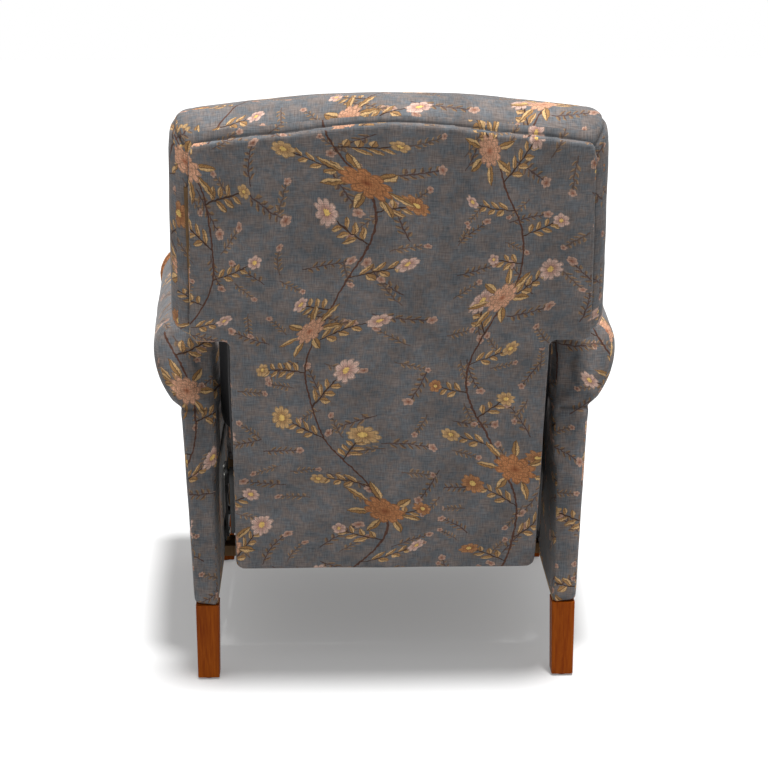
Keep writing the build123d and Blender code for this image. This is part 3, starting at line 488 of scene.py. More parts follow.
def trailing_print(tree, cloth, ground):
    """Colour of the printed plant over the ground colour."""
    drawn = cloth
    for size, reach in ((DRIFT_SIZE, DRIFT_REACH), (SHAKE_SIZE, SHAKE_REACH)):
        noise = add(tree, "TexNoise", cloth, named={"Scale": 1 / size, "Detail": 1.0}, noise_dimensions="2D")
        shift = add(tree, "VectorMath.MULTIPLY", noise.outputs["Color"], (reach, reach, 0.0))
        drawn = add(tree, "VectorMath.ADD", drawn, shift)
    wide, high, _ = add(tree, "SeparateXYZ", drawn).outputs
    sway = add(tree, "Math.SINE", add(tree, "Math.MULTIPLY", high, 2 * math.pi / SWAY_LENGTH))
    swayed = add(tree, "Math.MULTIPLY_ADD", sway, SWAY_REACH, wide)
    column, aside = repeat(tree, swayed, COLUMN, COLUMN / 2)
    climb = add(tree, "Math.MULTIPLY_ADD", column, COLUMN_RISE, high)

    # Thin twigs with a bud fill the ground between the branches: a dark kind and a paler, smaller one.
    look = ground
    for cell, reach, step, bud_size, stem_code, light_code, dark_code in TWIGS:
        moved = add(tree, "VectorMath.ADD", drawn, (7 * cell, 3 * cell, 0.0))
        cells = add(tree, "TexVoronoi", moved, named={"Scale": 1 / cell, "Randomness": 0.55},
                    voronoi_dimensions="2D")
        spot = add(tree, "VectorMath.SUBTRACT", moved, cells.outputs["Position"])
        chance = add(tree, "SeparateColor", cells.outputs["Color"])
        turn = add(tree, "Math.MULTIPLY", chance.outputs[0], 2 * math.pi)
        spot = add(tree, "VectorRotate", spot, named={"Angle": turn}, rotation_type="Z_AXIS")
        spot = add(tree, "VectorMath.ADD", spot, (reach / 2, 0.0, 0.0))
        spot = bent(tree, spot, chance.outputs[1])
        stem, leaves, _, half = twig(tree, spot, reach, step, 1.1 * step, 0.24 * step)
        look = add(tree, "MixRGB", stem, look, stem_code)
        look = add(tree, "MixRGB", leaves, look, add(tree, "MixRGB", half, light_code, dark_code))
        bud_spot = add(tree, "VectorMath.SUBTRACT", spot, (reach, 0.0, 0.0))
        far, angle = polar(tree, bud_spot)
        area, lines, share = petals(tree, far, angle, bud_size, 5.0, 0.4)
        bud = inked(tree, add(tree, "MixRGB", share, "#8f5a44", "#d9b7a4"), lines, 0.5)
        look = add(tree, "MixRGB", area, look, bud)

    # The swaying stems.
    away = add(tree, "Math.ABSOLUTE", aside)
    trunk = add(tree, "MapRange", away, 0.0022, 0.0013, interpolation_type="SMOOTHSTEP")
    look = add(tree, "MixRGB", trunk, look, "#5d4035")

    # Branches, left and right in turn, each with its own flower.
    side = add(tree, "Math.SIGN", aside)
    rise = add(tree, "Math.MULTIPLY_ADD", side, BRANCH_STEP / 4, climb)
    number, up = repeat(tree, rise, BRANCH_STEP, BRANCH_FOOT)
    draw = add(tree, "TexWhiteNoise", add(tree, "CombineXYZ", column, number, side), noise_dimensions="3D")
    chance = add(tree, "SeparateColor", draw.outputs["Color"])
    spot = add(tree, "CombineXYZ", away, up, 0.0)
    slope = add(tree, "Math.MULTIPLY_ADD", chance.outputs[0], -0.62, -0.12)
    spot = add(tree, "VectorRotate", spot, named={"Angle": slope}, rotation_type="Z_AXIS")
    spot = bent(tree, spot, chance.outputs[1])
    reach = add(tree, "Math.MULTIPLY_ADD", chance.outputs[2], 0.030, 0.050)
    stem, leaves, lines, half = twig(tree, spot, reach, 0.0165, 0.0225, 0.0054)
    look = add(tree, "MixRGB", stem, look, INK)
    gold = inked(tree, add(tree, "MixRGB", half, "#e2b985", "#b48a5c"), lines, 0.7)
    look = add(tree, "MixRGB", leaves, look, gold)
    radius = add(tree, "Math.MULTIPLY_ADD", draw.outputs["Value"], 0.0125, 0.0100)
    middle = add(tree, "Math.MULTIPLY_ADD", radius, 0.7, reach)
    spot = add(tree, "VectorMath.SUBTRACT", spot, add(tree, "CombineXYZ", middle, 0.0, 0.0))
    far, angle = polar(tree, spot)
    count = add(tree, "Math.FLOOR", add(tree, "Math.MULTIPLY_ADD", chance.outputs[0], 6.0, 5.0))
    area, lines, share = petals(tree, far, angle, radius, count, 0.0)
    flower = add(tree, "MixRGB", share, "#a3685a", "#f3d3c2")
    for level, start, end in ((0.4, "#96683f", "#e6bf8a"), (0.7, "#8a5234", "#d39a6a")):
        above = add(tree, "Math.GREATER_THAN", chance.outputs[1], level)
        flower = add(tree, "MixRGB", above, flower, add(tree, "MixRGB", share, start, end))
    flower = inked(tree, flower, lines, 0.55)
    heart = add(tree, "Math.LESS_THAN", share, 0.27)
    look = add(tree, "MixRGB", area, look, add(tree, "MixRGB", heart, flower, "#f0c877"))

    # Full blooms on the stems, with a star of gold leaves behind three rings of petals.
    number, up = repeat(tree, climb, BLOOM_STEP, BLOOM_STEP / 2)
    draw = add(tree, "TexWhiteNoise", add(tree, "CombineXYZ", number, column, 3.0), noise_dimensions="3D")
    spot = add(tree, "VectorMath.SUBTRACT", draw.outputs["Color"], (0.5, 0.5, 0.0))
    spot = add(tree, "VectorMath.MULTIPLY", spot, (0.05, 0.16, 0.0))
    spot = add(tree, "VectorMath.ADD", spot, add(tree, "CombineXYZ", aside, up, 0.0))
    radius = add(tree, "Math.MULTIPLY_ADD", draw.outputs["Value"], 0.011, 0.023)
    far, angle = polar(tree, spot)
    turned = add(tree, "Math.ADD", angle, draw.outputs["Value"])
    folded = add(tree, "Math.FLOORED_MODULO", turned, STAR_SECTOR)
    folded = add(tree, "Math.SUBTRACT", folded, STAR_SECTOR / 2)
    along = add(tree, "Math.MULTIPLY", far, add(tree, "Math.COSINE", folded))
    across = add(tree, "Math.MULTIPLY", far, add(tree, "Math.SINE", folded))
    along = add(tree, "Math.SUBTRACT", along, add(tree, "Math.ADD", radius, 0.010))
    leaves, lines, half = leaf(tree, across, along, 0.037, 0.0064)
    gold = inked(tree, add(tree, "MixRGB", half, "#e6bd86", "#ad8455"), lines, 0.75)
    look = add(tree, "MixRGB", leaves, look, gold)
    warm = add(tree, "Math.GREATER_THAN", draw.outputs["Value"], 0.5)
    for size, petal_count, twist in ((1.0, 10.0, 0.0), (0.72, 8.0, 0.5), (0.44, 6.0, 0.2)):
        ring = add(tree, "Math.MULTIPLY", radius, size)
        area, lines, share = petals(tree, far, angle, ring, petal_count, twist)
        peach = add(tree, "MixRGB", share, "#b26b4c", "#f2bd9b")
        flower = add(tree, "MixRGB", warm, peach, add(tree, "MixRGB", share, "#8a4d30", "#d0905f"))
        look = add(tree, "MixRGB", area, look, inked(tree, flower, lines, 0.5))
    return look


# %% [markdown]
# The weave comes last: linen yarn is uneven, with thick slubs, so two stretched noises, one for each
# direction of the thread, make both the shade and the bump. Real threads are about 0.5 mm; they are
# drawn three times as coarse here, because finer ones would not show. Each cover also stores painted
# shade: a dark line along its seams, and on the back a near-black strip in the gap beside the arms.

# %% Weave and shader
THREAD = 0.0016
WARP_SLUB = 0.017
WEFT_SLUB = 0.020
MOTTLE = 0.02
CLOUD = 0.075
# Near black of the painted shade on seam lines and in the gap beside the arms.
PAINTED_SHADE_COLOUR = "#17171a"


def printed_linen():
    """Grey slubbed linen with a trailing print, dull with a faint sheen."""
    material, tree = new_material("printed_linen_cloth")
    cloth = add(tree, "UVMap", uv_map="print_uv")
    mottle = add(tree, "TexNoise", cloth, named={"Scale": 1 / MOTTLE, "Detail": 4.0, "Roughness": 0.65},
                 noise_dimensions="2D")
    warm = add(tree, "MapRange", mottle, 0.36, 0.64, interpolation_type="SMOOTHSTEP")
    ground = add(tree, "MixRGB", warm, COOL_GROUND, WARM_GROUND)
    look = trailing_print(tree, cloth, ground)
    threads = []
    for wide, high in ((THREAD, WARP_SLUB), (WEFT_SLUB, THREAD)):
        yarn = add(tree, "Mapping", cloth, named={"Scale": (1 / wide, 1 / high, 1.0)})
        noise = add(tree, "TexNoise", yarn, named={"Scale": 1.0, "Detail": 2.0}, noise_dimensions="2D")
        threads.append(noise)
    weave = add(tree, "Math.ADD", *threads)
    shade = add(tree, "MapRange", weave, 0.7, 1.3, 0.72, 1.28)
    cloudy = add(tree, "TexNoise", cloth, named={"Scale": 1 / CLOUD, "Detail": 3.0}, noise_dimensions="2D")
    cloudy = add(tree, "MapRange", cloudy, 0.3, 0.7, 0.84, 1.14)
    shade = add(tree, "Math.MULTIPLY", shade, cloudy)
    look = add(tree, "VectorMath.MULTIPLY", look, shade)
    dark = add(tree, "Attribute", attribute_name="dark")
    # Painted shade: seam lines and the gap beside the arms are mixed towards near black.
    look = add(tree, "MixRGB", dark.outputs["Fac"], look, PAINTED_SHADE_COLOUR)
    bump = add(tree, "Bump", named={"Strength": 0.35, "Distance": 0.0006, "Height": weave})
    shader = add(tree, "BsdfPrincipled", look, named={
        "Roughness": 0.86, "Specular IOR Level": 0.22, "Sheen Weight": 0.12, "Sheen Roughness": 0.45,
        "Normal": bump})
    close_material(tree, shader)
    return material


linen = printed_linen()
print("printed cloth:", len(linen.node_tree.nodes), "nodes")

# %% [markdown]
# Every cover ends the same way: it takes the cloth, stands for its CAD solid and rides that solid's
# body. One function says all three, so no cover can miss one of them.

# %% Dress a cover
stood_for = {"seat_deck"}


def dress(piece, node, body):
    """Finish one padded cover that stands for a CAD node."""
    piece.data.materials.clear()
    piece.data.materials.append(linen)
    stood_for.add(node)
    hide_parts(node)
    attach(piece, body)
    print(piece.name, "rides", body)


# %% [markdown]
# The back is T-shaped: narrow between the arms, with two short wings above them, and its crest rises in
# a shallow camel curve. The same outline, drawn in or out, serves the flat panel on the rear and each
# row of the cushion, so it is written once as a function.

# %% Outline of the back
NARROW_HALF = 266.0
WING_HALF = 359.0
WING_TAPER = 12.0
WING_LOW = 458.0
CREST = 874.0
CREST_DROP = 26.0
REAR_CREST_DROP = 35.0
CUSHION_LOW = 215.0
CREST_CURVE = (0.26, 0.64, 0.92)
REAR_CREST_CURVE = (0.26, 0.47, 0.83)
CUSHION_ROUNDS = (12, 12, 22)
CUSHION_CHAMFER = 13


def back_outline(narrow, wing, low, wing_low, crest, drop, curve, rounds, chamfer):
    """Closed outline in X and s, from the lower right corner and round by the crest."""
    low_round, neck_round, wing_round = rounds
    shoulder = crest - drop
    top = wing - WING_TAPER
    side = (top, shoulder - 2.3 * chamfer)
    end = (top - chamfer, shoulder)
    half = corner((0, low), (narrow, low), (narrow, wing_low), low_round)
    half += corner((narrow, low), (narrow, wing_low), (wing, wing_low), neck_round)
    half += corner((narrow, wing_low), (wing, wing_low), side, wing_round)
    half += corner((wing, wing_low), side, end, chamfer)
    half += corner(side, end, (0, shoulder), chamfer * 0.6)
    start = half[-1]
    knee = (0.5 * wing, shoulder + curve[1] * drop)
    half += arc(start, (0.74 * wing, shoulder + curve[0] * drop), knee, 8)
    half += arc(knee, (0.26 * wing, shoulder + curve[2] * drop), (0.0, crest), 8)
    mirrored = [(-x, s) for x, s in reversed(half[:-1])]
    return half + mirrored


def back_print(points, corners, facing):
    """Cloth place on the back: front and rear faces by X and s, boxing by its length and n."""
    x, n, s = back_axes(points)[corners].T * MM
    forward = -facing[:, 1] * math.cos(BACK_LEAN) + facing[:, 2] * math.sin(BACK_LEAN)
    upward = facing[:, 2] * math.cos(BACK_LEAN) + facing[:, 1] * math.sin(BACK_LEAN)
    sideways = np.abs(facing[:, 0])
    flat = np.abs(forward) > np.maximum(np.abs(upward), sideways)
    top = ~flat & (np.abs(upward) > sideways)
    across = np.where(flat, x, np.where(top, x + 0.06, n + 0.31 * np.sign(x)))
    along = np.where(flat, s, np.where(top, n + 0.47, s + 0.2))
    return np.stack([across, along], axis=1)


widest = back_outline(NARROW_HALF, WING_HALF, CUSHION_LOW, WING_LOW, CREST, CREST_DROP, CREST_CURVE,
                      CUSHION_ROUNDS, CUSHION_CHAMFER)
print("outline of the back has", len(widest), "points")

# %% [markdown]
# Outside back: the panel that the photograph looks straight at. It is cloth stretched over a board, so
# it is nearly flat, with rounded folded edges and a slight swell. Four rings loft the edge, the remesh
# gives the face its squares, and the swell is a gentle bow in the vertices, because a taut panel has no
# room to billow. A panel so flat needs no subdivision.

# %% Outside back panel
OUTSIDE_HALF = 264.0
OUTSIDE_WING = 331.0
OUTSIDE_WING_SHIFT = -5.0
OUTSIDE_CREST = 853.0
OUTSIDE_LOW = -3.0
OUTSIDE_ROWS = ((5.0, 0.6), (1.6, 2.0), (0.3, 5.0), (0.0, 11.5))
OUTSIDE_BOW = 2.6
OUTSIDE_ROUNDS = (11, 6, 9)
OUTSIDE_CHAMFER = 7


def wings_aside(flat, share):
    """Outline with its wings moved to one side, because the panel is sewn on a little off the middle."""
    wing_share = [min(max((s - WING_LOW + 14) / 18, 0), 1) for x, s in flat]
    return [(x + OUTSIDE_WING_SHIFT * share * up, s) for (x, s), up in zip(flat, wing_share)]


def outside_ring(inset, n):
    """One ring of the outside back, drawn in by an inset."""
    flat = back_outline(OUTSIDE_HALF - inset, OUTSIDE_WING - inset, OUTSIDE_LOW + inset, WING_LOW + 4 + inset,
                        OUTSIDE_CREST - inset, REAR_CREST_DROP, REAR_CREST_CURVE, OUTSIDE_ROUNDS,
                        OUTSIDE_CHAMFER)
    return [back_place(x, n, s) for x, s in even(wings_aside(flat, 1.0), step=7.0)]


outside = new_piece("outside_back_panel", loft([outside_ring(inset, n_at) for inset, n_at in OUTSIDE_ROWS]))
remesh(outside, 4.0, 3)
points = coordinates(outside.data)
x, n, s = back_axes(points).T
bow = OUTSIDE_BOW * np.clip(1 - (x / 262) ** 2, 0, 1) * np.clip((s - 8) / 120, 0, 1)
bow *= np.clip((850 - s) / 150, 0, 1)
lift = np.where(n < 5, bow, 0)
points += np.outer(lift * MM, np.array([0, math.cos(BACK_LEAN), -math.sin(BACK_LEAN)]))
move_vertices(outside.data, points)
finish_cover(outside, no_seams, 0.0, 0.35, levels=0)
lay_print(outside, back_print)
dress(outside, "outside_back", "back")

# %% [markdown]
# Back cushion: the padded front, the wings and the boxing that the crest shows from behind. It is
# lofted from rows of the outline and swelled with Cloth. The rear rows are held, because they are
# tacked to the frame, and so are the crest, the lower edge and the sides between the arms. Seams run
# where the boxing meets the front and where top and side boxing meet. The sides between the arms are
# painted near black: painted shade for the deep gap beside the arms.

# %% Back cushion
# Each row: n, then how far wing, narrow side, lower edge and crest are drawn in, the drop of the crest
# and the share of the rear curve.
BACK_ROWS = [(6, 32, 5, 0, 24, 35, 1.0), (13, 25, 3, 0, 17, 34, 1.0), (22, 13, 1, 0, 12, 31, 0.7),
             (36, 2, 0, 0, 7, 28, 0.3), (62, 0, 0, 0, 2, 26, 0), (100, 2, -2, 0, 13, 26, 0),
             (128, 9, -20, 3, 23.5, 26, 0), (141, 20, -22, 9, 36, 26, 0), (148, 42, 18, 20, 61, 26, 0)]
FRONT_SEAM_N = 139.0
REAR_SEAM_N = 10.5
# Painted shade in the gap beside the arms reaches forward to this n.
GAP_SHADE_FRONT_N = 133
rings = []
for n_at, wing_in, narrow_in, low_in, crest_in, drop, rear_share in BACK_ROWS:
    curve = [one + (two - one) * rear_share for one, two in zip(CREST_CURVE, REAR_CREST_CURVE)]
    flat = back_outline(NARROW_HALF - narrow_in, WING_HALF - wing_in, CUSHION_LOW + low_in,
                        WING_LOW + 0.6 * wing_in, CREST - crest_in, drop, curve, CUSHION_ROUNDS,
                        CUSHION_CHAMFER)
    flat = wings_aside(flat, rear_share)
    rings.append([back_place(x, n_at, s) for x, s in even(flat, step=14.0)])
back_cushion = new_piece("back_cushion_cover", loft(rings))
remesh(back_cushion, 6.0, 4)


def back_held(points):
    """Firm at the rear, along the crest, at the lower edge and between the arms, free over the front."""
    x, n, s = back_axes(points).T
    rear = np.clip((118 - n) / 40, 0, 1)
    low = np.clip((CUSHION_LOW + 40 - s) / 30, 0, 1)
    beside = np.clip((np.abs(x) - 250) / 20, 0, 1) * np.clip((WING_LOW - s) / 30, 0, 1)
    top = np.clip((s - CREST + 50) / 15, 0, 1) * np.clip((146 - n) / 10, 0, 1)
    return np.maximum.reduce([rear, low, beside, top])


def back_seams(points):
    """Distance in millimetres from the front seam, the rear seam and the corner seams of the boxing."""
    x, n, s = back_axes(points).T
    shoulder = CREST - CREST_DROP
    wing = WING_HALF - WING_TAPER
    at_corner = (np.abs(x) > wing - 34) & (s > shoulder - 40) & (n < 120)
    corner_seam = np.where(at_corner, np.abs((np.abs(x) - wing) - 0.7 * (s - shoulder) - 2) * 0.8, NO_SEAM)
    front_seam = np.where(n > 100, np.abs(n - FRONT_SEAM_N), NO_SEAM)
    front_seam = np.where(s < CUSHION_LOW + 30, NO_SEAM, front_seam)
    rear_seam = np.where(n < 40, np.abs(n - REAR_SEAM_N), NO_SEAM)
    return np.minimum.reduce([corner_seam, front_seam, rear_seam])


def back_gap_shade(points):
    """Share of painted shade, near black, on the sides between the arms, where the gap beside the arms lies in
    deep shade.
    """
    x, n, s = back_axes(points).T
    # Painted shade: the sides of the back between the arms are made near black, standing in for the shade of the
    # gap.
    beside = np.clip((np.abs(x) - NARROW_HALF + 9) / 3, 0, 1)
    return beside * np.clip((GAP_SHADE_FRONT_N - n) / 3, 0, 1) * np.clip((WING_LOW - 3 - s) / 4, 0, 1)


swell(back_cushion, back_held, 4.0, 12.0)
finish_cover(back_cushion, back_seams, 2.2, 0.5, back_gap_shade)
lay_print(back_cushion, back_print)
dress(back_cushion, "back_cushion", "back")

# %% [markdown]
# Rolled arms: a scroll section that widens towards the front. The section is lofted from the raked rear
# to the front, closed over the inside of the plywood, and remeshed so that its edges turn softly. The
# cloth's coordinates follow the section's own length, so that the print wraps the roll without
# stretching.

# %% Arm sections
ARM_IN = 290.0
SKIN_IN = 295.0
ARM_PAD_LOW = 395.0
ARM_TOP = 655.0
ROLL_Z = 598.0
NECK_Z = 490.0
ARM_LOW = 137.0
ARM_FRONT = 628.0
REAR_SIZES = (399.0, 353.0, 338.0)
FRONT_SIZES = (432.0, 372.0, 344.0)
ARM_POINTS = 200


def arm_outline(roll, neck, foot):
    """Scroll outline of the left arm in X and Z."""
    width = roll - ARM_IN
    top = (ARM_IN + 0.45 * width, ARM_TOP)
    height = ARM_TOP - ROLL_Z
    points = [(SKIN_IN, ARM_LOW), (SKIN_IN, ARM_PAD_LOW - 10)]
    points += [(ARM_IN, ARM_PAD_LOW + 10), (ARM_IN, ROLL_Z - 8)]
    points += arc(points[-1], (ARM_IN + 0.12 * width, ROLL_Z + 0.66 * height), top, 8)
    points += arc(top, (roll - 0.14 * width, ROLL_Z + 0.72 * height), (roll, ROLL_Z), 8)
    points += arc((roll, ROLL_Z), (roll - 0.20 * (roll - neck), (ROLL_Z + NECK_Z) / 2), (neck, NECK_Z), 8)
    points.append((foot, ARM_LOW))
    return points


rear_ring = even(arm_outline(*REAR_SIZES), ARM_POINTS)
front_ring = even(arm_outline(*FRONT_SIZES), ARM_POINTS)


def arm_ring(share, inset):
    """Ring of the arm at a share of the way forward, drawn in towards the section's middle."""
    flat = rear_ring + (front_ring - rear_ring) * share
    roll_share = np.clip((flat[:, 1] - NECK_Z + 15) / 60, 0.2, 1)
    roll_share *= np.clip((flat[:, 0] - ARM_IN) / 45, 0.2, 1)
    flat = drawn_in(flat, (inset * roll_share)[:, None])
    return [place(x, z * REAR_RAKE * (1 - share) + ARM_FRONT * share, z) for x, z in flat]


print("arm section has", ARM_POINTS, "points")

# %% [markdown]
# The left arm is made first. Its rear rings are drawn in a little, which rounds the rear edge of the
# roll, and only the roll is free to swell. The right arm is its mirror image, with the print laid anew
# so that it differs.

# %% Arm covers
ARM_ROWS = [(0.0, 22.0), (0.004, 14.0), (0.014, 6.5), (0.032, 1.2)]
ARM_ROWS += [(number / 12, 0.0) for number in range(1, 12)] + [(0.999, 0.0)]
left_arm = new_piece("left_arm_cover_cloth", loft([arm_ring(share, inset) for share, inset in ARM_ROWS]))
remesh(left_arm, 6.0, 3)


def arm_held(points):
    """Firm below the neck, free on the roll."""
    z = chair_axes(points)[2]
    return np.clip((NECK_Z + 10 - z) / 30, 0, 1)


def arm_seams(points):
    """Distance in millimetres from the seam under the roll, outside and on the rear."""
    x, _, z = chair_axes(points)
    return np.where(np.abs(x) > 302, np.abs(z - NECK_Z), NO_SEAM)


def arm_print(points, corners, facing):
    """Cloth place on an arm: depth and length round the section, or X and Z on the rear."""
    x, depth, z = chair_axes(points)
    x = np.abs(x)
    rear = z * REAR_RAKE
    share = np.clip((depth - rear) / (ARM_FRONT - rear), 0, 1)
    around = np.empty(len(points))
    for start in range(0, len(points), 4000):
        part = slice(start, start + 4000)
        ring = rear_ring[None] + (front_ring - rear_ring)[None] * share[part, None, None]
        offset = np.stack([x[part], z[part]], axis=1)[:, None] - ring
        near = np.argmin((offset ** 2).sum(axis=2), axis=1)
        rows = np.arange(len(near))
        ahead = ring[rows, (near + 1) % ARM_POINTS] - ring[rows, (near - 1) % ARM_POINTS]
        run = np.linalg.norm(ahead, axis=1)
        slide = (offset[rows, near] * ahead).sum(axis=1) / run
        around[part] = near * run / 2 + slide
    side = np.sign(points[:, 0])
    backward = facing[:, 1] > 0.75
    across = np.where(backward, x[corners] + 900, depth[corners] + 200 * side[corners])
    along = np.where(backward, z[corners] + 130 * side[corners], 1500 - around[corners] + 90 * side[corners])
    return np.stack([across, along], axis=1) * MM


swell(left_arm, arm_held, 3.0, 5.0)
finish_cover(left_arm, arm_seams, 2.0, 0.5)


def mirror_piece(piece, name):
    """Right-hand copy of a left piece."""
    bm = bmesh.new()
    bm.from_mesh(piece.data)
    bmesh.ops.scale(bm, vec=(-1, 1, 1), verts=bm.verts)
    bmesh.ops.reverse_faces(bm, faces=bm.faces)
    copy = new_piece(name, bm)
    copy.data.shade_smooth()
    return copy


right_arm = mirror_piece(left_arm, "right_arm_cover_cloth")
for arm, node in ((left_arm, "left_arm_cover"), (right_arm, "right_arm_cover")):
    lay_print(arm, arm_print)
    dress(arm, node, "base")

# %% [markdown]
# Arm fronts: a thin padded facing in the shape of the scroll, edged with a welt, which is a cord
# wrapped in the same cloth. The facing is a shallow loft; the welt is the outline itself given a round
# bevel as a curve and then made a mesh, because that keeps its thickness even round the scroll.

# %% Arm front panels


def face_ring(inset, proud):
    """Ring of the facing, drawn in by an inset and proud of the arm's front."""
    return [place(x, ARM_FRONT + proud, z) for x, z in drawn_in(front_ring, inset)]


FACE_ROWS = ((2.0, -1), (2.0, 6), (5.0, 10), (12.0, 12))
left_face = new_piece("left_arm_front_facing", loft([face_ring(*row) for row in FACE_ROWS]))
remesh(left_face, 4.0, 2)


def face_print(points, corners, facing):
    """Cloth place on the facings, by X and Z."""
    x, z = points[corners, 0], points[corners, 2]
    return np.stack([x + 0.4, z + 0.27], axis=1)


finish_cover(left_face, no_seams, 0.0, 0.3)
right_face = mirror_piece(left_face, "right_arm_front_facing")
for face, node in ((left_face, "left_arm_front_panel"), (right_face, "right_arm_front_panel")):
    lay_print(face, face_print)
    dress(face, node, "base")


def welt(name, ring, radius_mm):
    """Round cord of cloth along a closed ring of scene points."""
    line = bpy.data.curves.new(name, "CURVE")
    line.dimensions = "3D"
    line.bevel_depth = radius_mm * MM
    line.bevel_resolution = 3
    spline = line.splines.new("POLY")
    spline.points.add(len(ring) - 1)
    for point, spot in zip(spline.points, ring):
        point.co = (*spot, 1)
    spline.use_cyclic_u = True
    drawn = bpy.data.objects.new(name + "_line", line)
    bpy.context.scene.collection.objects.link(drawn)
    mesh = bpy.data.meshes.new_from_object(drawn.evaluated_get(bpy.context.evaluated_depsgraph_get()))
    bpy.data.objects.remove(drawn)
    for layer in list(mesh.uv_layers):
        mesh.uv_layers.remove(layer)
    piece = bpy.data.objects.new(name, mesh)
    bpy.context.scene.collection.objects.link(piece)
    mesh.shade_smooth()
    mesh.attributes.new("dark", "FLOAT", "POINT")
    mesh.materials.clear()
    mesh.materials.append(linen)
    return piece


left_welt = welt("left_arm_front_welt", face_ring(2.0, 6), 3.2)
right_welt = mirror_piece(left_welt, "right_arm_front_welt")
right_welt.data.materials.append(linen)
for cord in (left_welt, right_welt):
    lay_print(cord, face_print)
    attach(cord, "base")

# %% [markdown]
# Seat cushion: a deep box of foam with a crowned top, a rounded nose at the front and a boxing strip
# between two seams. It starts a little smaller than the finished cushion, and the pressure fills it
# out; the bottom and the rear, where it lies on the deck and against the back, are held.

# %% Seat cushion
SEAT_HALF = 279.0
SEAT_LOW = 368.6
SEAT_TOP = 494.0
SEAT_FRONT = 652.0
SEAT_REAR_LOW = 113.0
SEAT_REAR_TOP = 97.0


def seat_ring(x, drop, draw):
    """Side outline of the seat cushion at X."""
    top = SEAT_TOP - drop
    front = SEAT_FRONT - draw
    outline = corner((SEAT_REAR_TOP + draw, top), (SEAT_REAR_LOW + draw, SEAT_LOW), (front - 8, SEAT_LOW), 10)
    outline += corner((SEAT_REAR_LOW, SEAT_LOW), (front - 8, SEAT_LOW), (front, top), 14)
    outline += corner((front - 8, SEAT_LOW), (front, top - 4), (300, top + 6), 26)
    outline += arc(outline[-1], (380, top + 9), (SEAT_REAR_TOP + draw + 16, top - 6), 10)
    outline += [(SEAT_REAR_TOP + draw + 3, top - 16)]
    return [place(x, d, z) for d, z in even(outline, step=14.0)]


SEAT_COLUMNS = [(-1.0, 16, 9), (-0.975, 6, 3), (-0.9, 2, 0), (-0.5, 0, 0), (0.0, 0, 0)]
SEAT_COLUMNS += [(-share, drop, draw) for share, drop, draw in reversed(SEAT_COLUMNS[:-1])]
seat_rings = [seat_ring(share * SEAT_HALF, drop, draw) for share, drop, draw in SEAT_COLUMNS]
print("seat rings have", [len(ring) for ring in seat_rings], "points")
seat = new_piece("seat_cushion_cover", loft(seat_rings))
remesh(seat, 6.0, 3)


def seat_held(points):
    """Firm below, at the rear and on the outermost sides, free above and at the front."""
    x, depth, z = chair_axes(points)
    below = np.clip((SEAT_LOW + 14 - z) / 10, 0, 1)
    behind = np.clip((160 - depth) / 30, 0, 1)
    beside = np.clip((np.abs(x) - (SEAT_HALF - 3)) / 3, 0, 1)
    return np.maximum.reduce([below, behind, beside])


def seat_seams(points):
    """Distance in millimetres from the upper and lower seams of the boxing."""
    x, depth, z = chair_axes(points)
    boxing = (depth > SEAT_FRONT - 40) | (np.abs(x) > SEAT_HALF - 12)
    gap = np.minimum(np.abs(z - (SEAT_TOP - 14)), np.abs(z - (SEAT_LOW + 16)))
    return np.where(boxing, gap, NO_SEAM)


def box_print(points, corners, facing):
    """Cloth place on a box-shaped cushion: top and bottom by X and depth, sides by their length and Z."""
    x, y, z = points[corners].T
    level = np.abs(facing[:, 2]) > np.maximum(np.abs(facing[:, 0]), np.abs(facing[:, 1]))
    endwise = ~level & (np.abs(facing[:, 0]) > np.abs(facing[:, 1]))
    across = np.where(level, x + 0.13, np.where(endwise, y + 0.6, x + 0.05))
    along = np.where(level, y + 1.1, z + 0.35)
    return np.stack([across, along], axis=1)


swell(seat, seat_held, 4.0, 14.0)
finish_cover(seat, seat_seams, 2.0, 0.6)
lay_print(seat, box_print)
dress(seat, "seat_cushion", "seat")

# %% [markdown]
# Footrest pad: a board wrapped in wadding and cloth. When the chair is closed it is the apron below the
# seat.

# %% Footrest pad
PAD_BACK = 673.0
PAD_FRONT = 703.0
PAD_HALF = 286
PAD_LOW = 165
PAD_HIGH = 401


def pad_ring(draw, depth):
    """Rounded rectangle of the pad at a depth."""
    half, low, high = PAD_HALF - draw, PAD_LOW + draw, PAD_HIGH - draw
    corners = [(half, low), (half, high), (-half, high), (-half, low)]
    outline = []
    for number, at in enumerate(corners):
        outline += corner(corners[number - 1], at, corners[(number + 1) % 4], 16)
    return [place(x, depth, z) for x, z in even(outline, step=12.0)]


PAD_ROWS = ((4, PAD_BACK), (1, PAD_BACK + 4), (1, PAD_BACK + 14), (5, PAD_FRONT - 6), (20, PAD_FRONT - 1))
pad = new_piece("footrest_pad_cover", loft([pad_ring(*row) for row in PAD_ROWS]))
remesh(pad, 5.0, 3)


def pad_held(points):
    """Firm at the rear, where the cloth is stapled to the board."""
    depth = chair_axes(points)[1]
    return np.clip((PAD_BACK + 9 - depth) / 5, 0, 1)


swell(pad, pad_held, 3.0, 6.0)
finish_cover(pad, no_seams, 0.0, 0.4)
lay_print(pad, box_print)
dress(pad, "footrest_pad", "footrest")

# %% [markdown]
# The seat box shows its front rail when the footrest is out, so the rail is wrapped in the same cloth.
# The wrap is a thin rounded strip a little proud of the rail: a cube, scaled to the rail's front edge
# and bevelled.

# %% Front rail wrap
WRAP_PROUD = 2.0
WRAP_DEPTH = 9.0


def bevelled_block(low, high, radius_mm):
    """Block between two corners with round edges."""
    bm = bmesh.new()
    bmesh.ops.create_cube(bm, size=1)
    bmesh.ops.scale(bm, vec=high - low, verts=bm.verts)
    bmesh.ops.translate(bm, vec=(low + high) / 2, verts=bm.verts)
    bmesh.ops.bevel(bm, geom=bm.edges, offset=radius_mm * MM, affect="EDGES", segments=3, profile=0.5,
                    material=-1)
    return bm


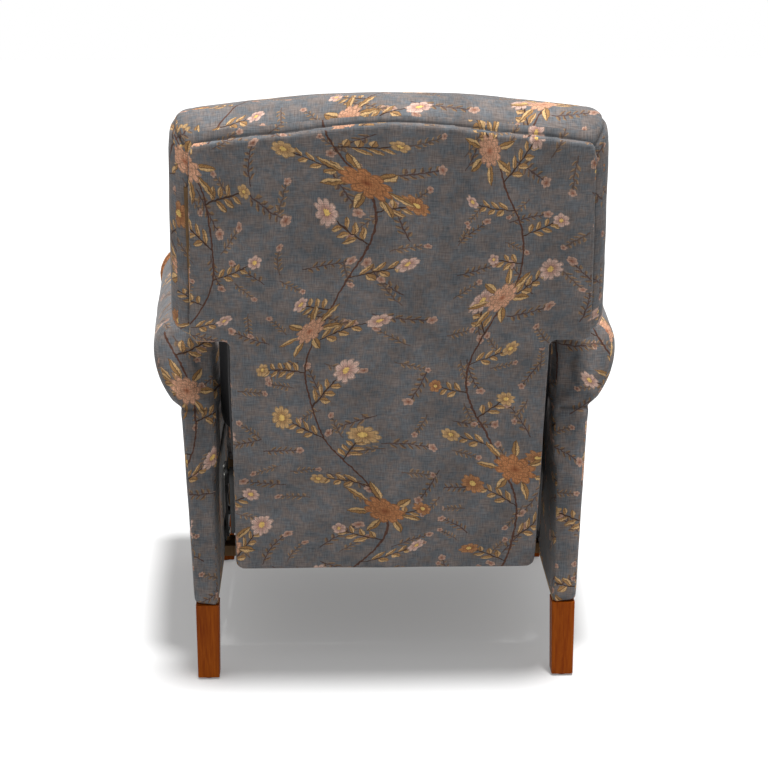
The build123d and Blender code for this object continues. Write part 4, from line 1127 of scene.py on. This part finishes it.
rail_low, rail_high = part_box("seat_front_rail")
wrap_low = Vector((rail_low.x, rail_low.y - WRAP_PROUD * MM, rail_low.z - WRAP_PROUD * MM))
wrap_high = Vector((rail_high.x, rail_low.y + WRAP_DEPTH * MM, rail_high.z))
wrap = new_piece("seat_front_rail_wrap", bevelled_block(wrap_low, wrap_high, 2.5))
wrap.data.attributes.new("dark", "FLOAT", "POINT")
wrap.data.shade_smooth()
wrap.data.materials.append(linen)
lay_print(wrap, box_print)
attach(wrap, "seat")
print("front rail wrap:", [round(v, 3) for v in wrap_high - wrap_low])

# %% [markdown]
# Under the cushion lies a felt pad over the springs. It is thin and mostly hidden, but it shows when
# the chair reclines, so it gets soft edges and its own needled finish.

# %% Felt deck


def needled_felt():
    """Grey felt of short tangled fibres: dull, with a speckle of lighter and darker wool."""
    material, tree = new_material("needled_felt")
    spot = add(tree, "TexCoord").outputs["Object"]
    fibre = add(tree, "TexNoise", spot, named={"Scale": 1 / 0.003, "Detail": 4.0})
    look = add(tree, "MixRGB", fibre, "#3c3c3c", "#6c6a68")
    bump = add(tree, "Bump", named={"Strength": 0.5, "Distance": 0.001, "Height": fibre})
    close_material(tree, add(tree, "BsdfPrincipled", look, named={
        "Roughness": 0.95, "Specular IOR Level": 0.15, "Normal": bump}))
    return material


deck = new_piece("felt_deck_pad", bevelled_block(*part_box("seat_deck"), 2.0))
deck.data.shade_smooth()
deck.data.materials.append(needled_felt())
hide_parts("seat_deck")
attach(deck, "seat")

# %% [markdown]
# The hard parts keep their CAD shapes and get finishes. The legs are stained hardwood under satin
# lacquer: long streaks of grain along the leg, darker in the pores, with a soft gloss. Bare frame wood
# and plywood use the same kind of grain, paler and dull.

# %% Wood finishes


def wood(name, dark, light, grain_mm, length_mm, roughness, gloss_level):
    """Timber with grain along Z: streaks of a given width and length."""
    material, tree = new_material(name)
    spot = add(tree, "TexCoord").outputs["Object"]
    stretch = (1 / (grain_mm * MM), 1 / (grain_mm * MM), 1 / (length_mm * MM))
    fibre = add(tree, "Mapping", spot, named={"Scale": stretch})
    streak = add(tree, "TexNoise", fibre, named={"Scale": 1.0, "Detail": 5.0, "Roughness": 0.6})
    broad = add(tree, "Mapping", spot, named={"Scale": tuple(value / 5 for value in stretch)})
    flame = add(tree, "TexNoise", broad, named={"Scale": 1.0, "Detail": 2.0})
    mixed = add(tree, "Math.MULTIPLY_ADD", streak, 0.55, add(tree, "Math.MULTIPLY", flame, 0.45))
    level = add(tree, "MapRange", mixed, 0.36, 0.64, 0.0, 1.0)
    look = add(tree, "MixRGB", level, dark, light)
    gloss = add(tree, "MapRange", streak, 0.3, 0.7, roughness + 0.07, roughness - 0.05)
    bump = add(tree, "Bump", named={"Strength": 0.12, "Distance": 0.0004, "Height": streak})
    close_material(tree, add(tree, "BsdfPrincipled", look, named={
        "Roughness": gloss, "Specular IOR Level": gloss_level, "Normal": bump}))
    return material


finishes = {
    "leg_wood": wood("stained_beech_lacquer", "#7c3200", "#a8540a", 3.0, 70.0, 0.45, 0.12),
    "plywood": wood("birch_plywood", "#a5855c", "#c0a279", 6.0, 160.0, 0.65, 0.3),
    "frame_wood": wood("sawn_hardwood", "#6f563a", "#8c6e4b", 4.0, 120.0, 0.7, 0.3),
}

# %% [markdown]
# The mechanism is stamped steel under black paint, zinc plated pins and screws, and dull spring wire.
# Metals keep the default index of refraction; what tells them apart is colour, roughness and the marks
# of how they were made.

# %% Metal and plastic finishes


def worked(name, dark, light, grain_mm, metallic, rough_low, rough_high, bump_mm):
    """Finish with a fine irregular grain in its colour, gloss and surface."""
    material, tree = new_material(name)
    spot = add(tree, "TexCoord").outputs["Object"]
    grain = add(tree, "TexNoise", spot, named={"Scale": 1 / (grain_mm * MM), "Detail": 4.0})
    look = add(tree, "MixRGB", grain, dark, light)
    gloss = add(tree, "MapRange", grain, 0.3, 0.7, rough_low, rough_high)
    bump = add(tree, "Bump", named={"Strength": 0.2, "Distance": bump_mm * MM, "Height": grain})
    close_material(tree, add(tree, "BsdfPrincipled", look, named={
        "Metallic": metallic, "Roughness": gloss, "Normal": bump}))
    return material


finishes["black_steel"] = worked("black_painted_steel", "#121212", "#1e1e1e", 5.0, 0.0, 0.55, 0.7, 0.1)
finishes["zinc_steel"] = worked("zinc_plated_steel", "#85857f", "#a8a8a1", 3.0, 1.0, 0.5, 0.65, 0.05)
finishes["spring_wire"] = worked("drawn_spring_wire", "#4c4c4e", "#6d6d6e", 2.0, 1.0, 0.4, 0.6, 0.05)
finishes["glide_plastic"] = worked("moulded_nylon", "#0f0f0f", "#1c1c1c", 2.0, 0.0, 0.45, 0.6, 0.05)

slots = {row["node"]: row["material_slot"] for row in frame["record"]["subparts"]}
dressed = 0
for name, node in frame["nodes"].items():
    if name in stood_for:
        continue
    node.data.materials.clear()
    node.data.materials.append(finishes[slots[name]])
    dressed += 1
print("CAD nodes with a finish:", dressed)

# %% [markdown]
# The setting is a plain pale floor under soft light. The camera sees a white floor, while other rays
# meet a mid-grey one, so the white does not pour extra light on the chair. The floor still takes the
# chair's shadow.

# %% Floor
FLOOR_HALF = 9.0
FLOOR_GLOW = 0.195


def studio_floor():
    """Matte floor, white to the camera."""
    material, tree = new_material("pale_studio_floor")
    rays = add(tree, "LightPath")
    seen = rays.outputs["Is Camera Ray"]
    for ray in ("Is Glossy Ray", "Is Transmission Ray"):
        seen = add(tree, "Math.MAXIMUM", seen, rays.outputs[ray])
    lit = add(tree, "BsdfDiffuse", "#d7d7d7")
    glow = add(tree, "Emission", "#ffffff", FLOOR_GLOW)
    white = add(tree, "AddShader", lit, glow)
    grey = add(tree, "BsdfDiffuse", "#9e9e9e")
    close_material(tree, add(tree, "MixShader", seen, grey, white))
    return material


bm = bmesh.new()
bmesh.ops.create_grid(bm, x_segments=1, y_segments=1, size=FLOOR_HALF)
floor = new_piece("studio_floor", bm)
floor.data.materials.append(studio_floor())

# %% [markdown]
# An even white sky lights the chair from all sides, and a high sun with soft edges gives the shadow
# beneath it. The camera sees the sky as plain white, whatever its strength.

# %% Light
SKY_STRENGTH = 0.46
world = bpy.data.worlds.new("studio_world")
world.use_nodes = True
bpy.context.scene.world = world
sky = world.node_tree
sky.nodes.clear()
rays = add(sky, "LightPath")
soft = add(sky, "Background", "#ffffff", SKY_STRENGTH)
white = add(sky, "Background", "#ffffff", 1.0)
mixed = add(sky, "MixShader", rays.outputs["Is Camera Ray"], soft, white)
sky_out = sky.nodes.new("ShaderNodeOutputWorld")
sky.links.new(mixed.outputs[0], sky_out.inputs["Surface"])


def lamp(name, strength, spread_deg, elevation_deg, turn_deg):
    """Sun lamp that shines from a height and a direction, with soft shadows."""
    data = bpy.data.lights.new(name, "SUN")
    data.energy = strength
    data.angle = math.radians(spread_deg)
    sun = bpy.data.objects.new(name, data)
    sun.rotation_euler = (math.radians(90 - elevation_deg), 0, math.radians(turn_deg))
    bpy.context.scene.collection.objects.link(sun)


lamp("key_light", 3.8, 8, 79.6, 197)

# %% [markdown]
# The camera stands behind the chair at eye height and looks down a little, as the photograph does. Its
# lens and place come from the perspective of the legs and sides.

# %% Camera
CAMERA_PITCH = math.radians(16.0)
CAMERA_YAW = math.radians(1.5)
PICTURE_PIXELS = 768
FOCAL_PIXELS = 2012
camera_data = bpy.data.cameras.new("studio_camera")
camera_data.sensor_width = 36.0
camera_data.lens = FOCAL_PIXELS / PICTURE_PIXELS * camera_data.sensor_width
camera_data.shift_x = 1.75 / PICTURE_PIXELS
camera_data.shift_y = 4.0 / PICTURE_PIXELS
camera_data.clip_end = 100
camera = bpy.data.objects.new("studio_camera", camera_data)
bpy.context.scene.collection.objects.link(camera)
camera.location = (0.0929, 3.544, 1.483)
level = math.cos(CAMERA_PITCH)
heading = Vector((-math.sin(CAMERA_YAW) * level, -math.cos(CAMERA_YAW) * level, -math.sin(CAMERA_PITCH)))
camera.rotation_euler = heading.to_track_quat("-Z", "Y").to_euler()
bpy.context.scene.camera = camera
bpy.context.scene.view_settings.view_transform = "Standard"
